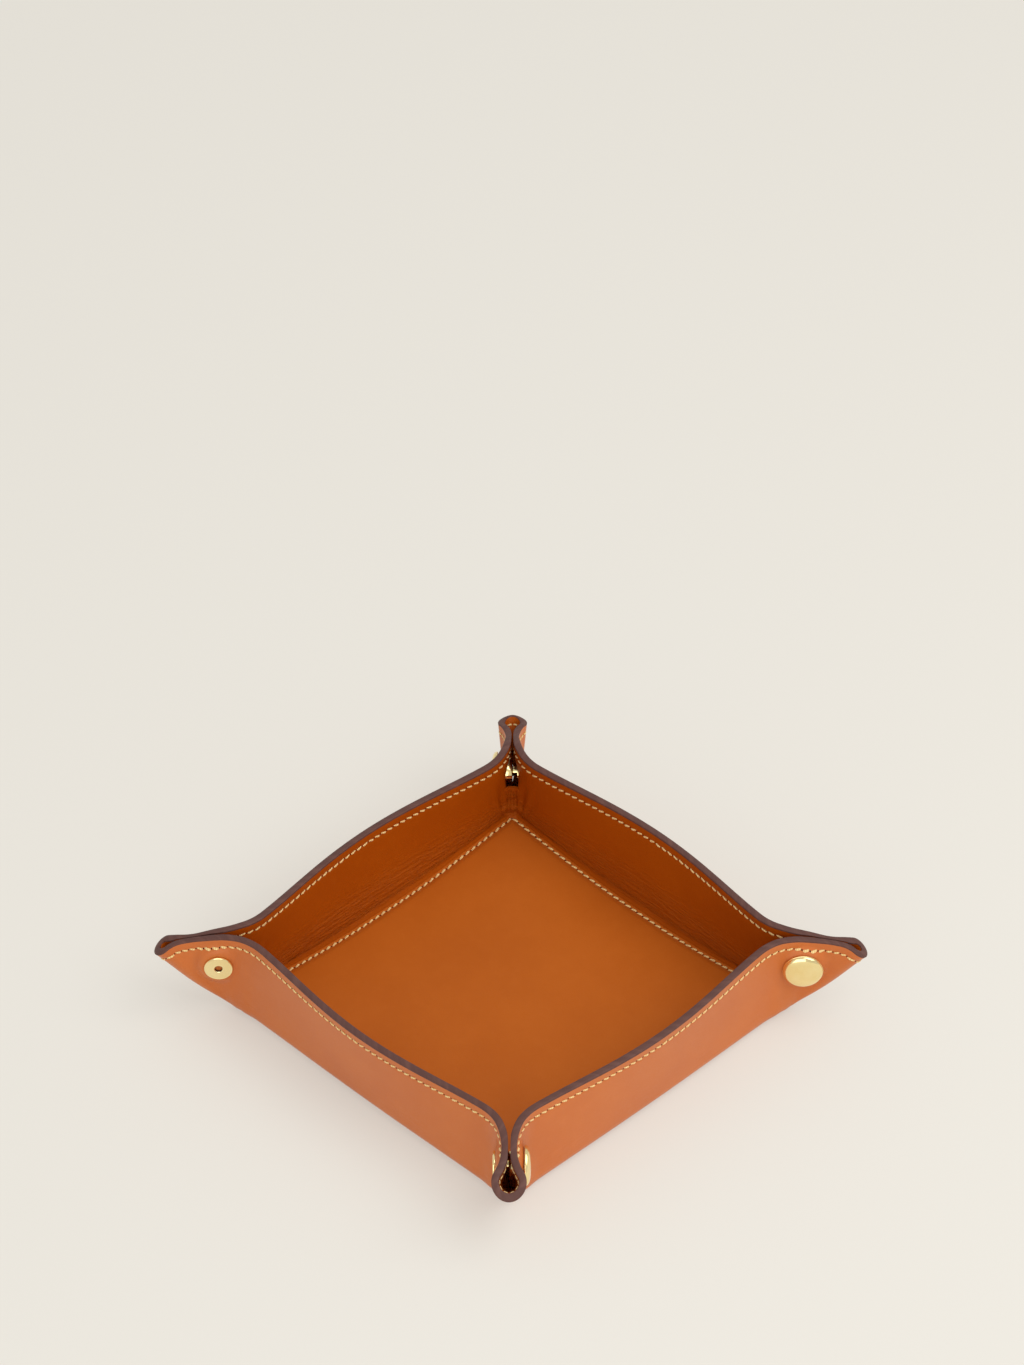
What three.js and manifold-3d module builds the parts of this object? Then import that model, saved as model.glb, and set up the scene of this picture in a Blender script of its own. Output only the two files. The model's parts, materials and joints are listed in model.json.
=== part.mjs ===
// Travel tray: a square of lined leather whose four corners are pinched into ears and held by press studs.
// Millimetres, +Z up. The origin is the middle of the underside, and the four sides are right (+X), back (+Y),
// left (-X) and front (-Y). The tray is drawn as it stands, with every press stud closed.
import * as THREE from 'three';
import { mergeVertices } from 'three/addons/utils/BufferGeometryUtils.js';
import Module from 'manifold-3d';

// Leather, cut flat
const SHEET_SIDE = 200;
const SHEET_CORNER_RADIUS = 18;
const OUTER_THICKNESS = 1.1;
const LINING_THICKNESS = 1.1;
const GLUE_LINE = 0.2;
const SQUEEZE = 0.7;

// Base
const BASE_HALF = 64.5;
const BASE_CORNER_RADIUS = 1.6;
const BOARD_THICKNESS = 0.6;
const BOARD_MARGIN = 3;
const SEAM_INSET = 1.2;

// Standing walls and pinched corners
const WALL_ANGLE = 94;
const WALL_BOW = 5.8;
const WALL_FOLD_LENGTH = 6;
const RIDGE_FOLD_LENGTH = 15;
const CORNER_SWEEP = 30;
const PINCH_LEAN = 2.5;
const EAR_FLARE = 40;
const FLARE_SWEEP = 25;
const EAR_START_ANGLE = -5;
const RIDGE_STRIP_ANGLE = 18;
const EAR_LIFT = 3.5;
const EAR_DROOP = 0.12;

// Thread
const RIM_STITCH_INSET = 3.5;
const THREAD_WIDTH = 0.7;
const THREAD_HEIGHT = 0.4;

// Press studs
const SNAP_REACH = 26;
const CAP_DIAMETER = 14;
const CAP_DOME = 1.7;
const CAP_EDGE = 0.6;
const POST_DIAMETER = 10;
const POST_FLANGE = 0.9;
const POST_HOLE_DIAMETER = 2.4;
const SHANK_DIAMETER = 3.6;
const SOCKET_DIAMETER = 8.4;
const STUD_DIAMETER = 8;
const STUD_FLANGE = 0.5;
const KNOB_DIAMETER = 4;

// Clearances
const PANEL_GAP = 0.3;
const FOLD_GAP = 0.8;
const SNAP_GAP = 0.2;

// Counts of facets, and how they are spread
const WALL_COLUMNS = 14;
const EAR_COLUMNS = 7;
const FOLD_COLUMNS = 5;
const SHEET_ROWS = 5;
const DOME_STEPS = 3;
const SNAP_SEGMENTS = 16;
const PANEL_CURVE = 5;
const DISC_SAMPLES = 16;
const ROW_CROWDING = 1.4;
const NORMAL_STEP = 0.02;

const LEATHER_THICKNESS = OUTER_THICKNESS + GLUE_LINE + LINING_THICKNESS;
const HALF_SHEET = SHEET_SIDE / 2;
const CORNER = BASE_HALF - BASE_CORNER_RADIUS;
const WALL_HEIGHT = HALF_SHEET - BASE_HALF;
const RIGHT_ANGLE = Math.PI / 2;
const RIDGE_ANGLE = Math.PI / 4;

const radians = THREE.MathUtils.degToRad;
const vector = (x, y, z) => new THREE.Vector3(x, y, z);

const TAN_LEATHER = { color: 0xb0622f, roughness: 0.5, metalness: 0 };
const LINING_LEATHER = { color: 0xa2561f, roughness: 0.5, metalness: 0 };
const FIBRE_BOARD = { color: 0x8a7a66, roughness: 0.9, metalness: 0 };
const CREAM_THREAD = { color: 0xe8d3a4, roughness: 0.8, metalness: 0 };
const BRASS = { color: 0xd8b25c, roughness: 0.2, metalness: 1 };

// The sheet leaves the base corner along rays. The direction of a standing ray, drawn on a unit sphere, runs along
// the wall's plane, sweeps outwards, runs straight in the pinch plane where the press stud closes the ear, flares
// outwards and loops back to meet the diagonal plane squarely at the ridge. The pinch plane leans towards the
// diagonal plane, and both hold the level diagonal.
const across = vector(Math.SQRT1_2, -Math.SQRT1_2, 0);
const diagonal = vector(Math.SQRT1_2, Math.SQRT1_2, 0);
const upright = vector(0, 0, 1);
const pinchNormal = turn(across, diagonal, -radians(PINCH_LEAN));
const pinchUp = turn(upright, diagonal, -radians(PINCH_LEAN));

function risingDirection(up, elevation) {
  return diagonal.clone().multiplyScalar(Math.cos(elevation)).addScaledVector(up, Math.sin(elevation));
}

function turn(direction, axis, angle) {
  return direction.clone().applyAxisAngle(axis, angle);
}

function angleAbout(axis, from, to) {
  const a = from.clone().projectOnPlane(axis);
  const b = to.clone().projectOnPlane(axis);
  return Math.atan2(a.clone().cross(b).dot(axis), a.dot(b));
}

function pinchSweep() {
  const lean = radians(WALL_ANGLE);
  const sweep = radians(CORNER_SWEEP);
  const wallNormal = vector(Math.sin(lean), 0, -Math.cos(lean));
  const share = wallNormal.dot(pinchNormal);
  const side = Math.sin(sweep) / (1 + share);
  const rise = Math.sqrt(1 - 2 * side * side * (1 + share));
  const along = pinchNormal.clone().cross(wallNormal).normalize();
  const axis = wallNormal.clone().add(pinchNormal).multiplyScalar(side).addScaledVector(along, rise);
  const leave = axis.clone().addScaledVector(wallNormal, -Math.sin(sweep)).normalize();
  const start = Math.asin(leave.y);
  const pinched = axis.clone().addScaledVector(pinchNormal, -Math.sin(sweep)).normalize();
  const pinch = start - angleAbout(axis, leave, pinched) * Math.sin(sweep);
  return { lean, sweep, axis, leave, start, pinch, elevation: Math.asin(pinched.dot(pinchUp)) };
}

const bend = pinchSweep();

// The flare and the loop follow the straight stretch, whose length leaves 45 degrees of flat sheet from the wall
// to the ridge.
function ridgeLoop() {
  const sweep = radians(FLARE_SWEEP);
  const flare = radians(EAR_FLARE);
  const attempt = (straight) => {
    const parting = risingDirection(pinchUp, bend.elevation - straight);
    const flareAxis = parting.clone().multiplyScalar(Math.cos(sweep)).addScaledVector(pinchNormal, Math.sin(sweep));
    const touch = turn(parting, flareAxis, -flare);
    const outward = flareAxis.clone().addScaledVector(touch, -Math.cos(sweep)).normalize();
    const radius = Math.atan2(touch.dot(across), outward.dot(across));
    const axis = touch.clone().multiplyScalar(Math.cos(radius)).addScaledVector(outward, -Math.sin(radius));
    const elevation = Math.asin(axis.z) - radius;
    const curl = angleAbout(axis, touch, risingDirection(upright, elevation));
    const flareStart = bend.pinch + straight;
    const loopStart = flareStart + flare * Math.sin(sweep);
    const total = loopStart + curl * Math.sin(radius);
    return { sweep, parting, flareAxis, touch, radius, axis, elevation, flareStart, loopStart, total };
  };
  let low = 0;
  let high = RIDGE_ANGLE;
  for (let step = 0; step < 50; step += 1) {
    const middle = (low + high) / 2;
    if (attempt(middle).total < RIDGE_ANGLE) low = middle;
    else high = middle;
  }
  return attempt(low);
}

const ridge = ridgeLoop();

function rayDirection(angle) {
  if (angle < bend.start) {
    const run = Math.cos(angle);
    return vector(run * Math.cos(bend.lean), Math.sin(angle), run * Math.sin(bend.lean));
  }
  if (angle < bend.pinch) return turn(bend.leave, bend.axis, (bend.start - angle) / Math.sin(bend.sweep));
  if (angle < ridge.flareStart) return risingDirection(pinchUp, bend.elevation - (angle - bend.pinch));
  if (angle < ridge.loopStart) {
    return turn(ridge.parting, ridge.flareAxis, (ridge.flareStart - angle) / Math.sin(ridge.sweep));
  }
  return turn(ridge.touch, ridge.axis, (angle - ridge.loopStart) / Math.sin(ridge.radius));
}

// A place on the flat sheet, (u, v) with u the larger, becomes a place on the standing sheet's middle surface.
// Rays leave the fold squarely along a wall and fan out from the rounded corner of the base.
function foldedPoint(u, v) {
  const facing = v < 0 ? -1 : 1;
  const place = Math.abs(v);
  const sight = Math.atan2(place - CORNER, u - CORNER);
  const fanned = sight > bend.start;
  const angle = fanned ? Math.min(sight, RIDGE_ANGLE) : 0;
  const onFold = angle < 0;
  const share = Math.max(angle, 0) / RIDGE_ANGLE;
  const reach = onFold ? BASE_CORNER_RADIUS / Math.cos(angle) : BASE_CORNER_RADIUS;
  const height = fanned ? Math.hypot(u - CORNER, place - CORNER) - reach : u - BASE_HALF;
  if (height <= 0) return vector(u, v, 0);
  const start = fanned
    ? vector(CORNER + reach * Math.cos(angle), CORNER + reach * Math.sin(angle), 0)
    : vector(BASE_HALF, place, 0);
  const direction = fanned ? rayDirection(angle) : vector(Math.cos(bend.lean), 0, Math.sin(bend.lean));
  const rise = bend.lean + (ridge.elevation - bend.lean) * share;
  const ridgeLength = WALL_FOLD_LENGTH + (RIDGE_FOLD_LENGTH - WALL_FOLD_LENGTH) * share;
  const foldLength = onFold ? WALL_FOLD_LENGTH / Math.cos(angle) : ridgeLength;
  const part = Math.min(height / foldLength, 1);
  const outAlong = onFold ? 1 : Math.cos(rise);
  const climbing = onFold ? Math.cos(angle) : 1;
  const run = Math.sin(part * rise) / rise;
  const climb = (1 - Math.cos(part * rise)) / rise;
  const curved = vector(Math.cos(angle) * run, Math.sin(angle) * (onFold ? part : run), climbing * climb);
  const plain = vector(
    Math.cos(angle) * Math.cos(rise), Math.sin(angle) * outAlong, climbing * Math.sin(rise));
  const swing = direction.clone().sub(plain);
  const bow = place < CORNER ? WALL_BOW * (height / WALL_HEIGHT) * (1 - (place / CORNER) ** 2) ** 2 : 0;
  const point = start
    .addScaledVector(curved, foldLength)
    .addScaledVector(swing, foldLength * part * part / 2)
    .addScaledVector(direction, Math.max(height - foldLength, 0));
  return vector(point.x + bow, point.y * facing, point.z);
}

// The inward normal of the sheet, towards the lining.
function inwardNormal(u, v) {
  const back = v < 0 ? v + NORMAL_STEP : v - NORMAL_STEP;
  const here = foldedPoint(u, v);
  const up = foldedPoint(u + NORMAL_STEP, v).sub(here);
  const side = v < 0 ? foldedPoint(u, back).sub(here) : here.clone().sub(foldedPoint(u, back));
  return up.cross(side).normalize();
}

// How far the leather sinks under its own weight, which grows with the distance past the base corner.
function droopAt(point) {
  const past = Math.max((point.x + Math.abs(point.y)) * Math.SQRT1_2 - CORNER * Math.SQRT2, 0);
  return EAR_DROOP * past * past / (past + RIDGE_FOLD_LENGTH);
}

// A place at some depth in the leather. Where a fold is tighter than the leather is thick, its inside is squeezed
// and stays on its own side of the diagonal plane.
function leatherPoint(u, v, depth) {
  const point = foldedPoint(u, v);
  const normal = inwardNormal(u, v);
  const away = vector(across.x, v < 0 ? -across.y : across.y, 0);
  const approach = -normal.dot(away);
  const most = approach > 0 ? SQUEEZE * point.dot(away) / approach : depth;
  point.addScaledVector(normal, Math.min(depth, most));
  return vector(point.x, point.y, point.z + LEATHER_THICKNESS / 2 - droopAt(point));
}

// Depths of the two layers, measured from the middle surface towards the inside.
const OUTER_FACE = -LEATHER_THICKNESS / 2;
const OUTER_BACK = OUTER_FACE + OUTER_THICKNESS;
const LINING_BACK = OUTER_BACK + GLUE_LINE;
const LINING_FACE = LINING_BACK + LINING_THICKNESS;

// A closed slab over a grid of flat places, given as columns along v of places rising along u.
function slab(columns, low, high) {
  const count = columns.length;
  const rows = columns[0].length;
  const points = [];
  for (const depth of [low, high]) {
    for (const column of columns) {
      for (const [u, v] of column) points.push(...leatherPoint(u, v, depth).toArray());
    }
  }
  const at = (layer, i, j) => (layer * count + i) * rows + j;
  const faces = [];
  const quad = (a, b, c, d) => faces.push(a, b, c, a, c, d);
  for (let i = 0; i + 1 < count; i += 1) {
    for (let j = 0; j + 1 < rows; j += 1) {
      quad(at(1, i, j), at(1, i, j + 1), at(1, i + 1, j + 1), at(1, i + 1, j));
      quad(at(0, i, j), at(0, i + 1, j), at(0, i + 1, j + 1), at(0, i, j + 1));
    }
    quad(at(0, i, 0), at(1, i, 0), at(1, i + 1, 0), at(0, i + 1, 0));
    quad(at(0, i, rows - 1), at(0, i + 1, rows - 1), at(1, i + 1, rows - 1), at(1, i, rows - 1));
  }
  for (let j = 0; j + 1 < rows; j += 1) {
    quad(at(0, 0, j), at(0, 0, j + 1), at(1, 0, j + 1), at(1, 0, j));
    quad(at(0, count - 1, j), at(1, count - 1, j), at(1, count - 1, j + 1), at(0, count - 1, j + 1));
  }
  const geometry = new THREE.BufferGeometry();
  geometry.setAttribute('position', new THREE.Float32BufferAttribute(points, 3));
  geometry.setIndex(faces);
  geometry.computeVertexNormals();
  return geometry;
}

const steps = (count, from, to) =>
  Array.from({ length: count + 1 }, (_, i) => from + (to - from) * i / count);

// Rows lie closer together near the fold, where the sheet curves.
const sheetRows = (from, to) =>
  steps(SHEET_ROWS, 0, 1).map((part) => from + (to - from) * part ** ROW_CROWDING);

// How far a ray of the corner fan runs to the edge of the flat sheet.
function rimReach(angle) {
  const straight = (HALF_SHEET - CORNER) / Math.cos(angle);
  const offset = HALF_SHEET - SHEET_CORNER_RADIUS - CORNER;
  if (straight * Math.sin(angle) < offset) return straight;
  const half = offset * (Math.cos(angle) + Math.sin(angle));
  return half + Math.sqrt(half * half - 2 * offset * offset + SHEET_CORNER_RADIUS ** 2);
}

const fanPlace = (angle, reach, shift) => [
  CORNER + reach * Math.cos(angle) - shift * Math.sin(angle),
  CORNER + reach * Math.sin(angle) + shift * Math.cos(angle),
];

// Columns of the corner fan between two rays, drawn in by half a panel gap at both.
function fanColumns(first, last, count) {
  return steps(count, first, last).map((angle, i) => {
    const shift = i === 0 ? PANEL_GAP / 2 : i === count ? -PANEL_GAP / 2 : 0;
    const rows = sheetRows(BASE_CORNER_RADIUS + EAR_LIFT, rimReach(angle));
    return rows.map((reach) => fanPlace(angle, reach, shift));
  });
}

// Columns of a wall between its two ears, over the given heights of flat sheet above the fold.
function wallColumns(heights) {
  const slope = Math.tan(radians(EAR_START_ANGLE));
  return steps(WALL_COLUMNS, -1, 1).map((part) =>
    heights.map((height) => {
      const end = CORNER + (BASE_CORNER_RADIUS + height) * slope - PANEL_GAP / 2;
      return [BASE_HALF + height, end * part];
    }));
}

const mirrored = (columns) => columns.map((column) => column.map(([u, v]) => [u, -v])).reverse();

// Cutting a hole needs closed meshes with shared corners.
const wasm = await Module();
wasm.setup();

function toSolid(geometry) {
  const plain = geometry.clone();
  plain.deleteAttribute('normal');
  plain.deleteAttribute('uv');
  const welded = mergeVertices(plain);
  return new wasm.Manifold(new wasm.Mesh({
    numProp: 3,
    vertProperties: new Float32Array(welded.attributes.position.array),
    triVerts: new Uint32Array(welded.index.array),
  }));
}

function cut(geometry, tool) {
  const mesh = toSolid(geometry).subtract(toSolid(tool)).getMesh();
  const result = new THREE.BufferGeometry();
  result.setAttribute('position', new THREE.BufferAttribute(mesh.vertProperties, 3));
  result.setIndex(new THREE.BufferAttribute(mesh.triVerts, 1));
  result.computeVertexNormals();
  return result;
}

// The press stud closes the straight stretch of the ear, square to the diagonal plane.
const snapAngle = (bend.pinch + ridge.flareStart) / 2;
const snapPlace = fanPlace(snapAngle, SNAP_REACH, 0);

// Distances of a leather face from the diagonal plane, over a disc around the press stud.
function faceDistances(diameter, depth) {
  const [u, v] = snapPlace;
  return steps(DISC_SAMPLES, 0, 2 * Math.PI).map((angle) => {
    const place = [u + Math.cos(angle) * diameter / 2, v + Math.sin(angle) * diameter / 2];
    return leatherPoint(...place, depth).dot(across);
  });
}

const snapCentre = leatherPoint(...snapPlace, 0).projectOnPlane(across);
const capSeat = Math.max(...faceDistances(CAP_DIAMETER, OUTER_FACE)) + SNAP_GAP;
const postSeat = Math.max(...faceDistances(POST_DIAMETER, OUTER_FACE)) + SNAP_GAP;
const innerSeat = Math.min(...faceDistances(SOCKET_DIAMETER, LINING_FACE)) - SNAP_GAP;
const studTop = STUD_FLANGE - innerSeat;
const socketLow = studTop + SNAP_GAP;

const profile = (pairs) => pairs.map(([radius, height]) => new THREE.Vector2(radius, height));
const turned = (pairs) => new THREE.LatheGeometry(profile(pairs), SNAP_SEGMENTS);

// Heights in these profiles are distances from the diagonal plane, positive on the side of the cap.
function capProfile() {
  const radius = CAP_DIAMETER / 2;
  const dome = steps(DOME_STEPS, 0, RIGHT_ANGLE).slice(0, -1).map((angle) => [
    radius * Math.cos(angle), capSeat + CAP_EDGE + CAP_DOME * Math.sin(angle),
  ]);
  const shank = SHANK_DIAMETER / 2;
  return [
    [0, innerSeat + SNAP_GAP], [shank, innerSeat + SNAP_GAP], [shank, capSeat], [radius, capSeat],
    ...dome, [0, capSeat + CAP_EDGE + CAP_DOME],
  ];
}

function socketProfile() {
  const bore = KNOB_DIAMETER / 2 + SNAP_GAP;
  const radius = SOCKET_DIAMETER / 2;
  return [
    [bore, socketLow], [radius, socketLow], [radius, innerSeat], [bore, innerSeat], [bore, socketLow],
  ];
}

function studProfile() {
  const radius = STUD_DIAMETER / 2;
  const knob = KNOB_DIAMETER / 2;
  const top = innerSeat - SNAP_GAP;
  return [[0, -innerSeat], [radius, -innerSeat], [radius, studTop], [knob, studTop], [knob, top], [0, top]];
}

function postProfile() {
  const bore = POST_HOLE_DIAMETER / 2;
  const shank = SHANK_DIAMETER / 2;
  const radius = POST_DIAMETER / 2;
  const outside = -postSeat - POST_FLANGE;
  return [
    [bore, outside], [radius, outside], [radius, -postSeat], [shank, -postSeat],
    [shank, -innerSeat - SNAP_GAP], [bore, -innerSeat - SNAP_GAP], [bore, outside],
  ];
}

// A rod through the leather of one ear, a clearance wider than the shank that passes through it.
function shankHole(end) {
  const length = 2 * (capSeat + CAP_EDGE);
  const rod = new THREE.CylinderGeometry(
    SHANK_DIAMETER / 2 + PANEL_GAP, SHANK_DIAMETER / 2 + PANEL_GAP, length, SNAP_SEGMENTS);
  const normal = vector(across.x, across.y * end, 0);
  rod.applyQuaternion(new THREE.Quaternion().setFromUnitVectors(vector(0, 1, 0), normal));
  const middle = vector(snapCentre.x, snapCentre.y * end, snapCentre.z).addScaledVector(normal, length / 2);
  return rod.translate(...middle.toArray());
}

// A flat square panel of the base with rounded corners.
function squareOutline(half, radius) {
  const inner = half - radius;
  const outline = new THREE.Shape();
  [[1, 1], [-1, 1], [-1, -1], [1, -1]].forEach(([x, y], i) => {
    outline.absarc(inner * x, inner * y, radius, RIGHT_ANGLE * i, RIGHT_ANGLE * (i + 1));
  });
  return outline;
}

function basePanel(outline, low, thickness) {
  const settings = { depth: thickness, bevelEnabled: false, curveSegments: PANEL_CURVE };
  return new THREE.ExtrudeGeometry(outline, settings).translate(0, 0, low);
}

function addPiece(group, name, geometry, finish) {
  const mesh = new THREE.Mesh(geometry, new THREE.MeshStandardMaterial(finish));
  mesh.name = name;
  group.add(mesh);
}

const BASE_EDGE = BASE_HALF - FOLD_GAP / 2;
const BOARD_LOW = OUTER_THICKNESS + GLUE_LINE / 2;
const FLOOR_LOW = BOARD_LOW + BOARD_THICKNESS + GLUE_LINE / 2;
const FLOOR_TOP = FLOOR_LOW + LINING_THICKNESS;

function addBase(group) {
  const whole = squareOutline(BASE_EDGE, BASE_CORNER_RADIUS);
  addPiece(group, 'base_outer_leather', basePanel(whole, 0, OUTER_THICKNESS), TAN_LEATHER);
  const board = squareOutline(BASE_HALF - BOARD_MARGIN, BASE_CORNER_RADIUS);
  addPiece(group, 'base_board', basePanel(board, BOARD_LOW, BOARD_THICKNESS), FIBRE_BOARD);
  addPiece(group, 'base_lining', basePanel(whole, FLOOR_LOW, LINING_THICKNESS), LINING_LEATHER);
  const seam = squareOutline(BASE_HALF - SEAM_INSET, BASE_CORNER_RADIUS);
  seam.holes.push(squareOutline(BASE_HALF - SEAM_INSET - THREAD_WIDTH, BASE_CORNER_RADIUS));
  addPiece(group, 'base_seam_thread', basePanel(seam, FLOOR_TOP + GLUE_LINE, THREAD_HEIGHT), CREAM_THREAD);
}

const SIDES = ['right', 'back', 'left', 'front'];

function addWall(group, side) {
  const wall = wallColumns(sheetRows(FOLD_GAP / 2, WALL_HEIGHT));
  addPiece(group, `${side}_wall_outer_leather`, slab(wall, OUTER_FACE, OUTER_BACK), TAN_LEATHER);
  addPiece(group, `${side}_wall_lining`, slab(wall, LINING_BACK, LINING_FACE), LINING_LEATHER);
  const line = WALL_HEIGHT - RIM_STITCH_INSET;
  const thread = wallColumns([line - THREAD_WIDTH / 2, line + THREAD_WIDTH / 2]);
  const threadLow = LINING_FACE + GLUE_LINE;
  const rim = slab(thread, threadLow, threadLow + THREAD_HEIGHT);
  addPiece(group, `${side}_wall_rim_thread`, rim, CREAM_THREAD);
}

const EAR_END = RIDGE_ANGLE - radians(RIDGE_STRIP_ANGLE);
const EAR_COLUMN_LIST = fanColumns(radians(EAR_START_ANGLE), EAR_END, EAR_COLUMNS);
const FOLD_COLUMN_LIST = fanColumns(EAR_END, RIDGE_ANGLE, FOLD_COLUMNS);

// One half of an ear, at the end of a wall: its panel of two layers and the folded strip up to the ridge.
function addEar(group, name, end) {
  const facing = (columns) => (end > 0 ? columns : mirrored(columns));
  const panel = facing(EAR_COLUMN_LIST);
  const hole = shankHole(end);
  addPiece(group, `${name}_ear_outer_leather`, cut(slab(panel, OUTER_FACE, OUTER_BACK), hole), TAN_LEATHER);
  addPiece(group, `${name}_ear_lining`, cut(slab(panel, LINING_BACK, LINING_FACE), hole), LINING_LEATHER);
  const strip = facing(FOLD_COLUMN_LIST);
  addPiece(group, `${name}_ridge_leather`, slab(strip, OUTER_FACE, LINING_FACE), TAN_LEATHER);
}

// A press stud lies along the normal of the diagonal plane, with its cap on the right or the left wall's ear.
function addSnap(group, name, capEnd) {
  const snap = new THREE.Group();
  snap.position.copy(snapCentre);
  snap.quaternion.setFromUnitVectors(vector(0, 1, 0), across.clone().multiplyScalar(capEnd));
  addPiece(snap, `${name}_snap_cap`, turned(capProfile()), BRASS);
  addPiece(snap, `${name}_snap_socket`, turned(socketProfile()), BRASS);
  addPiece(snap, `${name}_snap_stud`, turned(studProfile()), BRASS);
  addPiece(snap, `${name}_snap_post`, turned(postProfile()), BRASS);
  group.add(snap);
}

const tray = new THREE.Group();
addBase(tray);
SIDES.forEach((side, quarter) => {
  const next = SIDES[(quarter + 1) % SIDES.length];
  const previous = SIDES[(quarter + SIDES.length - 1) % SIDES.length];
  const quarterGroup = new THREE.Group();
  quarterGroup.rotation.z = RIGHT_ANGLE * quarter;
  addWall(quarterGroup, side);
  addEar(quarterGroup, `${side}_wall_${next}`, 1);
  addEar(quarterGroup, `${side}_wall_${previous}`, -1);
  addSnap(quarterGroup, `${side}_${next}`, quarter % 2 === 0 ? 1 : -1);
  tray.add(quarterGroup);
});

export default tray;
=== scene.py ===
"""Travel tray: one square of lined leather, pinched at four corners and held by brass press studs.

The leather is worked out as a flat square that is folded up, so every flat place (u, v) of a side has
one place in space: u runs outwards from the middle of the base, v along the side. Sizes are in
millimetres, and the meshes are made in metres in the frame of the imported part.
"""
import json
import logging
import math
from dataclasses import dataclass, field
from enum import Enum
from functools import cached_property
from typing import Any, Callable, Optional, Sequence, Union

import bpy
import numpy as np
from mathutils import Euler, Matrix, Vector


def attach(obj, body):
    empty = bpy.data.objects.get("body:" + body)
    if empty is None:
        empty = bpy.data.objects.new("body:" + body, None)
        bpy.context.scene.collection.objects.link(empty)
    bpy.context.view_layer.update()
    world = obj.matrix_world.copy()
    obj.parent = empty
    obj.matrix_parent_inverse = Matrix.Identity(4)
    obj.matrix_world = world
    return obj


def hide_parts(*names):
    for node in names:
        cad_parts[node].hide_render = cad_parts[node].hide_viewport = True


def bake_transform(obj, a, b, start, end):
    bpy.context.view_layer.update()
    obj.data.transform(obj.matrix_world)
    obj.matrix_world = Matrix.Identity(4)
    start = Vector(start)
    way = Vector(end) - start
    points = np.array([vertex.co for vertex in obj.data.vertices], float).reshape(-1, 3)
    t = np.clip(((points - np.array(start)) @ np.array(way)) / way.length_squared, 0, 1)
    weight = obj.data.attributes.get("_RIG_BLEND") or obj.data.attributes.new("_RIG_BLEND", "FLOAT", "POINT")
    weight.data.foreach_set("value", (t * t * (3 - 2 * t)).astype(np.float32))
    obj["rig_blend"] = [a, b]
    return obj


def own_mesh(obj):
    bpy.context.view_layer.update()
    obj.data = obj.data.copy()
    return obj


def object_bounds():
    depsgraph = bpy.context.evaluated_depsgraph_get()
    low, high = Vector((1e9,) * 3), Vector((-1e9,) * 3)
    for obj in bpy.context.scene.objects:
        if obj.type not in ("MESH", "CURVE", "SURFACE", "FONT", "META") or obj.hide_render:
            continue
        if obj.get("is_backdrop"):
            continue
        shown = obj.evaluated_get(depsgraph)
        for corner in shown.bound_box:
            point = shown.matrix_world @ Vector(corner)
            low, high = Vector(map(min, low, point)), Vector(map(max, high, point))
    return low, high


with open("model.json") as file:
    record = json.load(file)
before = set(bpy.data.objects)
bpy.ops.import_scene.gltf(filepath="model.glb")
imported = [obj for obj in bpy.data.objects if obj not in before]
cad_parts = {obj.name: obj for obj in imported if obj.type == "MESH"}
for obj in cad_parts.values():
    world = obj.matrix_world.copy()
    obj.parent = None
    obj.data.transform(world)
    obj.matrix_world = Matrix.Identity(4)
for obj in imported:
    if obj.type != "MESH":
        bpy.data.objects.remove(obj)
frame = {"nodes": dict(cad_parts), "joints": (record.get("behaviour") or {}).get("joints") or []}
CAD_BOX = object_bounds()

LOG = logging.getLogger("travel_tray")
MM = 0.001
HALF_ROOT = math.sqrt(0.5)
QUARTER = math.pi / 4
DIAGONAL = np.array([HALF_ROOT, HALF_ROOT, 0.0])
ACROSS = np.array([HALF_ROOT, -HALF_ROOT, 0.0])
UP = np.array([0.0, 0.0, 1.0])
FLAT_MAP = "flat"
BLEND_WEIGHT = "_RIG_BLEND"
FOOT_HEIGHT = 7.0

Grid = np.ndarray
Number = Union[float, np.ndarray]
Span = tuple[float, float]
Tone = tuple[int, int, int]
Faces = list[tuple[int, ...]]


class Side(Enum):
    """The four walls, by the number of quarter turns from the first."""

    RIGHT = 0
    BACK = 1
    LEFT = 2
    FRONT = 3

    @property
    def word(self) -> str:
        """The side's name as the part writes it."""
        return self.name.lower()

    @property
    def wall(self) -> str:
        """The name of the side's wall body."""
        return f"{self.word}_wall"

    def neighbour(self, step: int) -> "Side":
        """The side that is met at the end where v has the sign of step."""
        return Side((self.value + step) % 4)

    def corner(self, end: int) -> int:
        """The number of the corner at one end, which is that of the side before it."""
        return self.value if end > 0 else (self.value - 1) % 4

    def ear(self, end: int) -> str:
        """The name of the ear body at one end."""
        return f"{self.wall}_{self.neighbour(end).word}_ear"

    @property
    def corner_name(self) -> str:
        """The name of the corner where v is positive, from its two sides."""
        return f"{self.word}_{self.neighbour(1).word}"


class Slot(Enum):
    """The material slots of the part's record."""

    OUTER = "outer_leather"
    LINING = "lining_leather"
    BOARD = "board"
    THREAD = "thread"
    BRASS = "brass"


class Face(Enum):
    """The two faces of the lined leather, by the sign of their depth."""

    OUTER = -1
    LINING = 1


class StudPart(Enum):
    """The four brass pieces of a press stud."""

    CAP = "cap"
    SOCKET = "socket"
    STUD = "stud"
    POST = "post"


def smooth(start: float, end: float, value: Number) -> Number:
    """An eased step.

    Args:
        start: where the step is 0.
        end: where the step is 1.
        value: the place or places asked for.

    Returns:
        The step's height there, from 0 to 1.
    """
    part = np.clip((np.asarray(value, float) - start) / (end - start), 0.0, 1.0)
    return part * part * (3.0 - 2.0 * part)


def bell(low: float, high: float, value: Number) -> Number:
    """A smooth hump between two places, 1 in the middle and 0 outside them."""
    part = np.clip((np.asarray(value, float) - low) / (high - low), 0.0, 1.0)
    return (4.0 * part * (1.0 - part)) ** 2


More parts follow.
